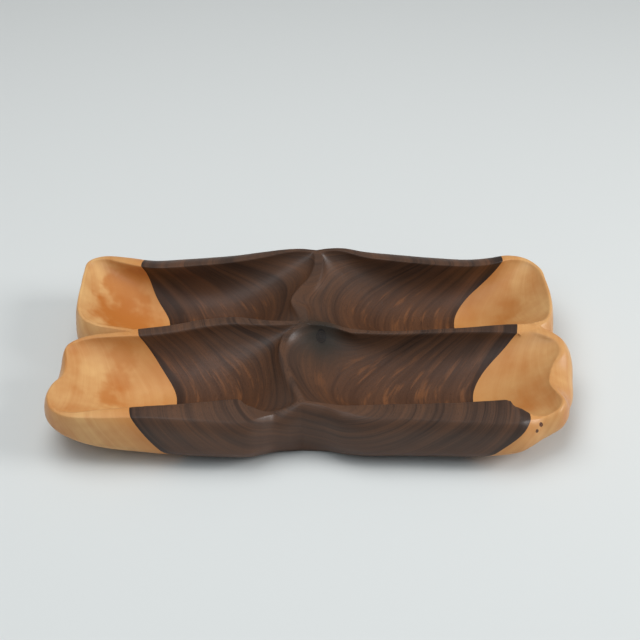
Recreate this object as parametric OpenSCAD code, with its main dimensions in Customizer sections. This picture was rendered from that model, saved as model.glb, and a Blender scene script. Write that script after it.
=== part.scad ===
// Divided serving bowl carved from one plank: four hollows in two rows of two, split by a long
// middle ridge and two short bowed ridges. The dark heartwood runs through the middle and the
// pale sapwood makes both ends, because the plank was cut across the log.

/* [Overall size] */
// Length over the bulging end walls
bowl_l = 400; // [320:5:500]
// Width over the bulging front and back walls
bowl_w = 220; // [180:5:280]
// Height from the foot to the highest point of the rim
bowl_h = 52; // [44:1:70]

/* [Hollows] */
// Wood left under the deepest point of each hollow
floor_t = 9; // [6:0.5:14]

/* [Rim] */
// Broadest width of the flat band on top of the long walls
band_w = 20; // [8:1:26]
// Fall of the broadest band from its inner edge to its outer edge
band_fall = 6; // [1:0.5:10]
// Broadest half of a ridge between two hollows
ridge_w = 11; // [5:0.5:14]
// Fall of the broadest ridge from its crest to its edge
ridge_fall = 3; // [0.5:0.5:5]

/* [Outer wall] */
// How far the belly of the wall stands out past the rim where it bulges most
belly_out = 18; // [8:1:24]
// How far the foot lies inside the ends of the bowl
foot_in_l = 56; // [35:1:80]
// How far the foot lies inside the front and back of the bowl
foot_in_w = 22; // [14:1:34]

/* [Grain] */
// Length of each sapwood end, measured at the rim
sap_l = 57; // [40:1:90]
// Height of the middle of the log above the foot
pith_z = 142; // [110:1:220]
// Shift of the middle of the log towards the right end
pith_x = 6; // [-15:1:15]
// Turn of the grain from square across the bowl, in degrees
grain_turn = 2.5; // [-6:0.5:6]

/* [Knots] */
// Diameter of the branch knot where it meets the hollow
knot_d = 8; // [4:0.5:14]
// Diameter of the larger pin knot
pin_d = 3.2; // [2:0.1:6]
// Depth to which a pin knot runs into the wall
pin_l = 6; // [3:0.5:8]

/* [Hidden] */

half_l = bowl_l / 2;
half_w = bowl_w / 2;
overrun = bowl_h;

// Ridges, from the middle junction outwards. Each row gives the place as shares of half the
// length and half the width, the height as a share of the bowl's height, and the width of the
// ridge to the left and to the right of its crest as shares of the broadest half ridge.
middle_left_shares = [
    [-0.040, 0.090, 0.900, 0.30, 0.15],
    [-0.170, 0.085, 0.920, 0.45, 0.15],
    [-0.300, 0.095, 0.960, 0.60, 0.20],
    [-0.420, 0.075, 0.950, 0.65, 0.20],
    [-0.560, 0.025, 0.918, 0.65, 0.20],
    [-0.700, -0.016, 0.900, 0.60, 0.20]
];
front_divider_shares = [
    [-0.040, 0.090, 0.900, 0.30, 0.20],
    [-0.095, 0.010, 0.840, 0.30, 0.20],
    [-0.122, -0.120, 0.780, 0.30, 0.20],
    [-0.115, -0.290, 0.750, 0.30, 0.20],
    [-0.090, -0.450, 0.760, 0.30, 0.20],
    [-0.062, -0.600, 0.800, 0.30, 0.20],
    [-0.040, -0.740, 0.850, 0.30, 0.20]
];
middle_right_shares = [
    [-0.040, 0.090, 0.900, 0.15, 0.30],
    [0.050, 0.085, 0.875, 0.20, 0.35],
    [0.140, 0.030, 0.850, 0.20, 0.30],
    [0.290, 0.000, 0.850, 0.20, 0.25],
    [0.450, 0.005, 0.875, 0.20, 0.30],
    [0.610, 0.020, 0.895, 0.20, 0.40],
    [0.750, 0.045, 0.905, 0.20, 0.60],
    [0.870, 0.055, 0.885, 0.25, 0.80]
];
back_divider_shares = [
    [-0.040, 0.090, 0.900, 0.15, 0.30],
    [-0.066, 0.240, 0.885, 0.15, 0.80],
    [-0.086, 0.385, 0.840, 0.15, 1.00],
    [-0.060, 0.530, 0.815, 0.15, 0.90],
    [-0.015, 0.660, 0.830, 0.15, 0.70],
    [0.008, 0.790, 0.890, 0.15, 0.60],
    [0.010, 0.910, 0.990, 0.20, 0.40]
];

// Outer rims, one for each hollow, running anticlockwise from above. Each row gives the place
// and the height as above, the width of the band as a share of the broadest band, the bulge of
// the wall as a share of the greatest bulge, and the height of the belly as a share of the
// bowl's height.
front_left_shares = [
    [-0.700, -0.016, 0.900, 0.30, 1.40, 0.40],
    [-0.775, -0.030, 0.890, 0.28, 1.15, 0.42],
    [-0.842, -0.042, 0.876, 0.25, 0.80, 0.44],
    [-0.900, -0.078, 0.850, 0.18, 0.48, 0.46],
    [-0.940, -0.150, 0.820, 0.13, 0.24, 0.47],
    [-0.935, -0.265, 0.740, 0.12, 0.32, 0.46],
    [-0.935, -0.395, 0.735, 0.12, 0.38, 0.46],
    [-0.960, -0.530, 0.795, 0.12, 0.28, 0.50],
    [-0.968, -0.670, 0.830, 0.13, 0.20, 0.54],
    [-0.940, -0.805, 0.835, 0.15, 0.15, 0.56],
    [-0.875, -0.885, 0.850, 0.25, 0.17, 0.52],
    [-0.760, -0.902, 0.875, 0.42, 0.28, 0.42],
    [-0.610, -0.895, 0.885, 0.52, 0.38, 0.35],
    [-0.450, -0.908, 0.900, 0.72, 0.42, 0.33],
    [-0.330, -0.915, 0.905, 0.92, 0.42, 0.33],
    [-0.240, -0.905, 0.893, 0.98, 0.50, 0.33],
    [-0.185, -0.850, 0.800, 0.50, 0.72, 0.33],
    [-0.140, -0.790, 0.718, 0.14, 0.92, 0.33],
    [-0.090, -0.768, 0.770, 0.10, 0.90, 0.33],
    [-0.040, -0.740, 0.850, 0.12, 0.80, 0.33]
];
front_right_shares = [
    [-0.040, -0.740, 0.850, 0.12, 0.80, 0.33],
    [0.030, -0.770, 0.845, 0.16, 0.78, 0.33],
    [0.110, -0.840, 0.865, 0.36, 0.64, 0.33],
    [0.200, -0.885, 0.875, 0.60, 0.48, 0.33],
    [0.320, -0.895, 0.880, 0.66, 0.44, 0.33],
    [0.460, -0.910, 0.890, 0.76, 0.44, 0.33],
    [0.600, -0.925, 0.905, 0.92, 0.43, 0.33],
    [0.720, -0.918, 0.895, 0.98, 0.42, 0.36],
    [0.772, -0.885, 0.815, 0.62, 0.39, 0.40],
    [0.812, -0.850, 0.742, 0.20, 0.33, 0.44],
    [0.850, -0.830, 0.745, 0.12, 0.27, 0.49],
    [0.892, -0.790, 0.795, 0.12, 0.22, 0.52],
    [0.912, -0.705, 0.825, 0.12, 0.28, 0.52],
    [0.898, -0.590, 0.775, 0.12, 0.60, 0.48],
    [0.886, -0.470, 0.715, 0.12, 0.96, 0.46],
    [0.905, -0.330, 0.735, 0.13, 0.86, 0.46],
    [0.950, -0.200, 0.810, 0.18, 0.46, 0.46],
    [0.950, -0.080, 0.845, 0.30, 0.42, 0.45],
    [0.915, 0.000, 0.875, 0.44, 0.55, 0.43],
    [0.870, 0.055, 0.885, 0.40, 0.75, 0.42]
];
back_right_shares = [
    [0.870, 0.055, 0.885, 0.40, 0.75, 0.42],
    [0.905, 0.110, 0.870, 0.16, 0.40, 0.44],
    [0.930, 0.210, 0.865, 0.12, 0.20, 0.46],
    [0.942, 0.340, 0.865, 0.12, 0.16, 0.47],
    [0.943, 0.480, 0.865, 0.12, 0.16, 0.48],
    [0.937, 0.620, 0.865, 0.12, 0.17, 0.51],
    [0.925, 0.750, 0.878, 0.13, 0.20, 0.55],
    [0.875, 0.850, 0.915, 0.20, 0.17, 0.54],
    [0.800, 0.880, 0.950, 0.38, 0.24, 0.46],
    [0.720, 0.858, 0.930, 0.58, 0.34, 0.40],
    [0.620, 0.845, 0.915, 0.66, 0.40, 0.36],
    [0.480, 0.860, 0.925, 0.66, 0.42, 0.34],
    [0.340, 0.880, 0.950, 0.60, 0.42, 0.33],
    [0.220, 0.910, 0.980, 0.48, 0.42, 0.33],
    [0.125, 0.935, 1.000, 0.28, 0.42, 0.33],
    [0.060, 0.930, 1.000, 0.18, 0.45, 0.33],
    [0.010, 0.910, 0.990, 0.14, 0.50, 0.33]
];
back_left_shares = [
    [0.010, 0.910, 0.990, 0.14, 0.50, 0.33],
    [-0.050, 0.925, 1.000, 0.18, 0.46, 0.33],
    [-0.120, 0.920, 1.000, 0.28, 0.42, 0.33],
    [-0.220, 0.895, 0.980, 0.46, 0.42, 0.33],
    [-0.350, 0.862, 0.960, 0.64, 0.42, 0.33],
    [-0.500, 0.838, 0.940, 0.72, 0.42, 0.34],
    [-0.650, 0.832, 0.918, 0.74, 0.40, 0.37],
    [-0.770, 0.858, 0.928, 0.52, 0.28, 0.44],
    [-0.865, 0.875, 0.930, 0.24, 0.17, 0.53],
    [-0.925, 0.820, 0.905, 0.14, 0.18, 0.55],
    [-0.935, 0.700, 0.882, 0.12, 0.17, 0.52],
    [-0.936, 0.550, 0.870, 0.12, 0.15, 0.48],
    [-0.936, 0.400, 0.865, 0.12, 0.15, 0.47],
    [-0.928, 0.260, 0.865, 0.12, 0.18, 0.46],
    [-0.898, 0.140, 0.865, 0.13, 0.34, 0.45],
    [-0.842, 0.066, 0.868, 0.14, 0.70, 0.44],
    [-0.775, 0.024, 0.880, 0.16, 1.10, 0.42],
    [-0.700, -0.016, 0.900, 0.20, 1.40, 0.40]
];

// Middles of the hollows and half sizes of their round floors, as shares of half the length
// and half the width.
hollow_shares = [
    [-0.500, -0.420, 0.380, 0.330],
    [0.400, -0.420, 0.450, 0.340],
    [0.470, 0.440, 0.420, 0.330],
    [-0.490, 0.430, 0.410, 0.330]
];

// Places of the knots as shares of half the length, half the width and the height, with the
// thickness of each pin knot as a share of the larger one.
knot_shares = [0.028, 0.010, 0.740];
pin_shares = [
    [0.820, -0.870, 0.715, 1.0],
    [0.805, -0.900, 0.615, 0.9]
];

ridges = [middle_left_shares, front_divider_shares, middle_right_shares, back_divider_shares];
rims = [front_left_shares, front_right_shares, back_right_shares, back_left_shares];

// Steps along one ridge and along one outer rim. Then the rows of points: those of a hollow as
// shares of the way from its middle to its rim, and those of the outer wall and the underside
// as angles of their curves.
ridge_steps = 14;
rim_steps = 30;
hollow_row_shares = [1, 0.985, 0.95, 0.90, 0.83, 0.75, 0.65, 0.53, 0.40, 0.26, 0.12];
wall_angles = [35, 65, 90];
under_angles = [30, 60, 90];

// Curve of a hollow: how flat its floor is, and how steeply it meets the end and long walls.
floor_power = 3;
end_power = 1.15;
side_power = 2.0;
round_power = 4;
// Squareness of the bowl's plan and of its foot.
plan_power = 2;
foot_power = 3.2;
// Width from which the band of a rim runs straight in from its crest. Narrower bands and the
// ridges lean towards the middle of the hollow, by no more than the angle with this cosine.
square_w = 8;
skew_limit = 0.35;

ridge_inner = ridge_steps - 1;
rim_inner = rim_steps - 1;
loop_n = 2 * ridge_steps + rim_steps;
around_n = 4 * rim_steps;
crest_n = 5 + 4 * ridge_inner + 4 * rim_inner;
row_n = len(hollow_row_shares);
hollow_n = row_n * loop_n + 1;
wall_n = len(wall_angles) + len(under_angles);
wall_start = crest_n + 4 * hollow_n;

function mix(a, b, s) = a + (b - a) * s;

// Smooth value a share s of the way from b to c, where a comes before b and d after c.
function spline(a, b, c, d, s) =
    b + (c - a) * s / 2 + (2 * a - 5 * b + 4 * c - d) * s * s / 2
    + (3 * b - a - 3 * c + d) * s * s * s / 2;

// Smoothed row of a table at a share of its length.
function row_at(t, share) =
    let (
        n = len(t) - 1,
        i = min(floor(share * n), n - 1),
        before = i > 0 ? t[i - 1] : 2 * t[i] - t[i + 1],
        after = i < n - 1 ? t[i + 2] : 2 * t[i + 1] - t[i]
    )
    spline(before, t[i], t[i + 1], after, share * n - i);

function ridge_row(k, i) = row_at(ridges[k % 4], i / ridge_steps);
function rim_row(k, i) = row_at(rims[k % 4], i / rim_steps);

// Direction straight out of the bowl at a place on its plan.
function outward(p) =
    let (
        x = sign(p.x) * pow(abs(p.x) / half_l, plan_power),
        y = sign(p.y) * pow(abs(p.y) / half_w, plan_power)
    )
    [x, y] / norm([x, y]);

function place(row) = [row[0] * half_l, row[1] * half_w];
function belly(row) = place(row) + outward(place(row)) * row[4] * belly_out;

// Every column of the outer wall, and the size of the plan before it is brought to size.
columns = [for (k = [0:3]) for (i = [0:rim_steps - 1]) rim_row(k, i)];
bellies = [for (c = columns) belly(c)];
x_low = min([for (b = bellies) b.x]);
x_high = max([for (b = bellies) b.x]);
y_low = min([for (b = bellies) b.y]);
y_high = max([for (b = bellies) b.y]);
top_share = max([for (c = columns) c[2]]);

// Brings a place of the plan and a height to the stated size, centred on the origin.
function sized(p, z) = [
    (p.x - (x_low + x_high) / 2) * bowl_l / (x_high - x_low),
    (p.y - (y_low + y_high) / 2) * bowl_w / (y_high - y_low),
    z / top_share
];

// Crest of the wood: outer edges of the rims and tops of the ridges.
function ridge_crest(k, i) = let (r = ridge_row(k, i)) sized(place(r), r[2] * bowl_h);
function rim_crest(k, i) =
    let (r = rim_row(k, i))
    sized(place(r), r[2] * bowl_h - band_fall * r[3] * r[3]);

crest_points = [
    ridge_crest(0, 0),
    for (k = [0:3]) ridge_crest(k, ridge_steps),
    for (k = [0:3]) for (i = [1:ridge_inner]) ridge_crest(k, i),
    for (k = [0:3]) for (i = [1:rim_inner]) rim_crest(k, i)
];

function ridge_id(k, i) =
    i == 0 ? 0 : i == ridge_steps ? 1 + k % 4 : 5 + (k % 4) * ridge_inner + i - 1;
function rim_id(k, i) =
    i == 0 ? 1 + k : i == rim_steps ? 1 + (k + 1) % 4
    : 5 + 4 * ridge_inner + k * rim_inner + i - 1;

// Loop of crest points round hollow k: out along one ridge, round the rim, back along the next.
function loop_id(k, i) =
    i <= ridge_steps ? ridge_id(k, i)
    : i <= ridge_steps + rim_steps ? rim_id(k, i - ridge_steps)
    : ridge_id(k + 1, loop_n - i);

// Width of the flat inside the crest, and the height of its inner edge, at each loop point.
function inner_edge(k, i) =
    i <= ridge_steps ? let (r = ridge_row(k, i)) ridge_edge(r, r[3])
    : i < ridge_steps + rim_steps ? let (r = rim_row(k, i - ridge_steps))
        [r[3] * band_w, r[2] * bowl_h / top_share]
    : let (r = ridge_row(k + 1, loop_n - i)) ridge_edge(r, r[4]);
function ridge_edge(r, side) =
    [side * ridge_w, (r[2] * bowl_h - ridge_fall * side * side) / top_share];

function flat_of(p) = [p.x, p.y];
function unit(v) = v / norm(v);

// One ray of hollow k, from the crest inwards, as points of the mesh.
function hollow_middle(k) = flat_of(sized([hollow_shares[k][0] * half_l,
    hollow_shares[k][1] * half_w], 0));
function hollow_ray(k, i) =
    let (
        m = hollow_middle(k),
        p = crest_points[loop_id(k, i)],
        ahead = crest_points[loop_id(k, (i + 1) % loop_n)],
        behind = crest_points[loop_id(k, (i + loop_n - 1) % loop_n)],
        along = unit(flat_of(ahead) - flat_of(behind)),
        inward = [-along.y, along.x],
        edge = inner_edge(k, i),
        square = i > ridge_steps && i < ridge_steps + rim_steps ? min(1, edge[0] / square_w) : 0,
        way = unit(mix(unit(m - flat_of(p)), inward, square)),
        reach = flat_of(p) + way * edge[0] / max(skew_limit, way * inward) - m,
        x = reach.x / (hollow_shares[k][2] * half_l),
        y = reach.y / (hollow_shares[k][3] * half_w),
        swell = 1 / norm([x, y]),
        power = mix(end_power, side_power, pow(y * swell, 2))
    )
    [for (t = hollow_row_shares)
        let (
            q = m + reach * t * mix(swell, 1, pow(t, round_power)),
            deep = pow(1 - pow(t, floor_power), 1 / power)
        )
        [q.x, q.y, mix(edge[1], floor_t, deep)]
    ];

function hollow_points(k) =
    let (rays = [for (i = [0:loop_n - 1]) hollow_ray(k, i)], m = hollow_middle(k))
    [for (r = [0:row_n - 1]) for (i = [0:loop_n - 1]) rays[i][r], [m.x, m.y, floor_t]];

// One column of the outer wall: out and down to the belly, then under to the foot.
function wall_column(c, b) =
    let (
        top = sized(place(c), c[2] * bowl_h - band_fall * c[3] * c[3]),
        wide = sized(b, c[5] * bowl_h),
        foot_l = half_l - foot_in_l,
        foot_w = half_w - foot_in_w,
        spread = pow(pow(abs(wide.x) / foot_l, foot_power)
            + pow(abs(wide.y) / foot_w, foot_power), 1 / foot_power),
        foot = [wide.x, wide.y, 0] / spread
    )
    [
        for (a = wall_angles)
            [mix(top.x, wide.x, sin(a)), mix(top.y, wide.y, sin(a)), mix(wide.z, top.z, cos(a))],
        for (a = under_angles)
            [mix(foot.x, wide.x, cos(a)), mix(foot.y, wide.y, cos(a)), wide.z * (1 - sin(a))]
    ];

wall_columns = [for (j = [0:around_n - 1]) wall_column(columns[j], bellies[j])];
form_points = [
    each crest_points,
    for (k = [0:3]) each hollow_points(k),
    for (r = [0:wall_n - 1]) for (j = [0:around_n - 1]) wall_columns[j][r],
    [0, 0, 0]
];

function ring_id(k, r, i) =
    r < 0 ? loop_id(k, i % loop_n) : crest_n + k * hollow_n + r * loop_n + i % loop_n;
function around_id(r, j) =
    let (i = j % around_n)
    r < 0 ? rim_id(floor(i / rim_steps), i % rim_steps) : wall_start + r * around_n + i;

form_faces = [
    for (k = [0:3]) for (i = [0:loop_n - 1]) each [
        for (r = [0:row_n - 1]) each [
            [ring_id(k, r - 1, i), ring_id(k, r, i), ring_id(k, r, i + 1)],
            [ring_id(k, r - 1, i), ring_id(k, r, i + 1), ring_id(k, r - 1, i + 1)]
        ],
        [ring_id(k, row_n - 1, i), crest_n + (k + 1) * hollow_n - 1,
            ring_id(k, row_n - 1, i + 1)]
    ],
    for (j = [0:around_n - 1]) each [
        for (r = [0:wall_n - 1]) each [
            [around_id(r - 1, j), around_id(r - 1, j + 1), around_id(r, j + 1)],
            [around_id(r - 1, j), around_id(r, j + 1), around_id(r, j)]
        ],
        [len(form_points) - 1, around_id(wall_n - 1, j), around_id(wall_n - 1, j + 1)]
    ]
];

// Radius of the growth ring at which the heartwood ends, from the sapwood length at the rim.
rim_z = bowl_h * middle_left_shares[0][2];
ring_r = norm([half_l - sap_l, pith_z - rim_z]);
// Turn round the ring from one of its points to the next, in degrees.
ring_turn = 4;
full_turn = 360;
// How far the ring is out of round. Each row gives a turn and the radius there as a share.
ring_shares = [
    [0, 1.048], [326, 1.048], [321, 1.032], [316, 1.010], [309, 1.010], [302, 1.000],
    [238, 1.008], [231, 1.017], [226, 1.020], [222, 1.014], [218, 1.006], [212, 1.000],
    [180, 1.000], [90, 1.010], [360, 1.048]
];
function ring_at(a) = ring_r * lookup(a, ring_shares) * [cos(a), sin(a)];

// Place on the middle line of the log at a distance y behind the middle of the bowl.
function pith_at(y) = [pith_x - y * tan(grain_turn), y, pith_z];

module carved_form() {
    polyhedron(form_points, form_faces, convexity = 8);
}

// The log out to its last dark growth ring, lying along the width of the bowl.
module heart_log() {
    translate(pith_at(0)) rotate([90, 0, grain_turn])
        linear_extrude(bowl_w + 4 * overrun, center = true)
            polygon([for (a = [ring_turn / 2:ring_turn:full_turn]) ring_at(a)]);
}

// Room round the whole bowl, or round one half of it: side 1 is right and side -1 is left.
module plank_space(side) {
    space_l = half_l + overrun;
    space_w = bowl_w + 2 * overrun;
    translate([side > 0 ? 0 : -space_l, -space_w / 2, -overrun])
        cube([side == 0 ? 2 * space_l : space_l, space_w, bowl_h + 2 * overrun]);
}

// Room inside the last dark growth ring.
module heart_space() {
    intersection() {
        plank_space(0);
        heart_log();
    }
}

// Room outside that ring at one end.
module sap_space(side) {
    difference() {
        plank_space(side);
        heart_log();
    }
}

// The branch grew straight out from the middle of the log, and its knot widens as it goes.
module branch_space() {
    spot = [knot_shares.x * half_l, knot_shares.y * half_w, knot_shares.z * bowl_h];
    start = pith_at(spot.y);
    way = spot - start;
    from_r = pith_z - bowl_h - overrun;
    to_r = pith_z + overrun;
    translate(start) rotate([0, atan2(way.x, way.z), 0]) translate([0, 0, from_r])
        linear_extrude(to_r - from_r, scale = to_r / from_r)
            circle(d = knot_d * from_r / norm(way), $fn = 24);
}

// A pin knot runs level into the wall from its outer face, and ends in the wood.
module pin_space() {
    for (p = pin_shares) {
        spot = [p[0] * half_l, p[1] * half_w, p[2] * bowl_h];
        way = outward(spot);
        translate(spot) rotate([0, 0, atan2(way.y, way.x)]) translate([-pin_l, 0, 0])
            rotate([0, 90, 0]) cylinder(d = pin_d * p[3], h = pin_l + overrun, $fn = 12);
    }
}

// Dark brown middle of the bowl, with the four ridges and most of every hollow. A pin knot is cut
// out of it too, for sizes at which the heartwood reaches out as far as the knot.
module heartwood_body() {
    color("#5a3c2a")
    difference() {
        intersection() {
            carved_form();
            heart_space();
        }
        branch_space();
        pin_space();
    }
}

// Pale end of the bowl on the left.
module sapwood_end_left() {
    color("#d39a5c")
    intersection() {
        carved_form();
        sap_space(-1);
    }
}

// Pale end of the bowl on the right, pierced by the two pin knots.
module sapwood_end_right() {
    color("#d09658")
    difference() {
        intersection() {
            carved_form();
            sap_space(1);
        }
        pin_space();
    }
}

// Black-brown remains of a side branch, beside the middle junction.
module branch_knot() {
    color("#241710")
    intersection() {
        carved_form();
        branch_space();
    }
}

// Two dark bud traces in the front corner of the right end.
module pin_knots() {
    color("#5b2d12")
    intersection() {
        carved_form();
        pin_space();
    }
}

heartwood_body();
sapwood_end_left();
sapwood_end_right();
branch_knot();
pin_knots();
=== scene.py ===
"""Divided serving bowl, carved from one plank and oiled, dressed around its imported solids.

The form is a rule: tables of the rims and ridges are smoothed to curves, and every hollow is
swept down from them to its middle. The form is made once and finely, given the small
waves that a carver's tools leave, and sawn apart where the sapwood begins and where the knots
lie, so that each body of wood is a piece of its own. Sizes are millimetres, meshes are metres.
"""

import logging
import math
from collections.abc import Callable
from dataclasses import dataclass, field
from enum import Enum
from functools import partial

import bmesh
import bpy
import numpy as np
from mathutils import Matrix, Vector
from mathutils.geometry import tessellate_polygon


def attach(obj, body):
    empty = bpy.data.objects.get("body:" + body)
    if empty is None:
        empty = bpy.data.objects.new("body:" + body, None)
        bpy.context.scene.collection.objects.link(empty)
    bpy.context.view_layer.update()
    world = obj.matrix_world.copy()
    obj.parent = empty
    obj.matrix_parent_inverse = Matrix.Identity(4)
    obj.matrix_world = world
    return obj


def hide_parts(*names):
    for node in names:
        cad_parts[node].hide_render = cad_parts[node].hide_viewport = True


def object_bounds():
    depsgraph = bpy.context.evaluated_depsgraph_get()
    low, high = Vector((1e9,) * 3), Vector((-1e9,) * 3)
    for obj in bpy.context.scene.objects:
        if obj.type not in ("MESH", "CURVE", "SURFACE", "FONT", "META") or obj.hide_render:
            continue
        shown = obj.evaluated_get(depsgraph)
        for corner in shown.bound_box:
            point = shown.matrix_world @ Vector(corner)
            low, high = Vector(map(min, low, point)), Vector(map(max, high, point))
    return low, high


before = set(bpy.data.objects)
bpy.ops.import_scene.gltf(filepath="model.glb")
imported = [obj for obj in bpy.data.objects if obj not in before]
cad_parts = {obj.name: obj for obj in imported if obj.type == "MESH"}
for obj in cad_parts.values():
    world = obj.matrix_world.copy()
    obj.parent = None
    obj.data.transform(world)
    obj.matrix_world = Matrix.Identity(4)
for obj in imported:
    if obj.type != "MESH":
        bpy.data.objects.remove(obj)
CAD_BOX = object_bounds()

MM = 0.001
# Least length that a vector is divided by.
TINY = 1e-9
LOG = logging.getLogger("bowl")

Rows = list[list[float]]
Colour = tuple[float, float, float]
Span = tuple[float, float]
Rule = Callable[[np.ndarray], np.ndarray]


class Grown(Enum):
    """The bodies of wood, each named as its solid is."""

    HEART = "heartwood_body"
    LEFT_END = "sapwood_end_left"
    RIGHT_END = "sapwood_end_right"
    BRANCH = "branch_knot"
    PINS = "pin_knots"


def faded(low: float, high: float, value: np.ndarray) -> np.ndarray:
    """A smooth step from 0 at low to 1 at high.

    Args:
        low: Value at which the step starts.
        high: Value at which the step ends.
        value: Values to step.

    Returns:
        The stepped values.
    """
    share = np.clip((value - low) / (high - low), 0.0, 1.0)
    return share * share * (3.0 - 2.0 * share)


def lengths(vectors: np.ndarray) -> np.ndarray:
    """The length of each vector, kept as a column."""
    return np.linalg.norm(vectors, axis=-1, keepdims=True)


def mesh_object(name: str, points: np.ndarray, faces: list[tuple[int, ...]]) -> bpy.types.Object:
    """Makes a mesh object from points in millimetres.

    Args:
        name: Name of the object.
        points: One row of x, y and z for each point.
        faces: Point numbers of each face, anticlockwise from outside.

    Returns:
        The linked object, at the origin.
    """
    mesh = bpy.data.meshes.new(name)
    mesh.from_pydata((points * MM).tolist(), [], faces)
    shape = bpy.data.objects.new(name, mesh)
    bpy.context.scene.collection.objects.link(shape)
    return shape


def baked(shape: bpy.types.Object) -> bpy.types.Object:
    """Turns an object and its modifiers into a plain mesh.

    Args:
        shape: Object whose modifiers are applied and removed.

    Returns:
        The same object, with the result as its mesh.
    """
    graph = bpy.context.evaluated_depsgraph_get()
    result = bpy.data.meshes.new_from_object(shape.evaluated_get(graph))
    before = shape.data
    shape.modifiers.clear()
    shape.data = result
    bpy.data.meshes.remove(before)
    return shape


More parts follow.
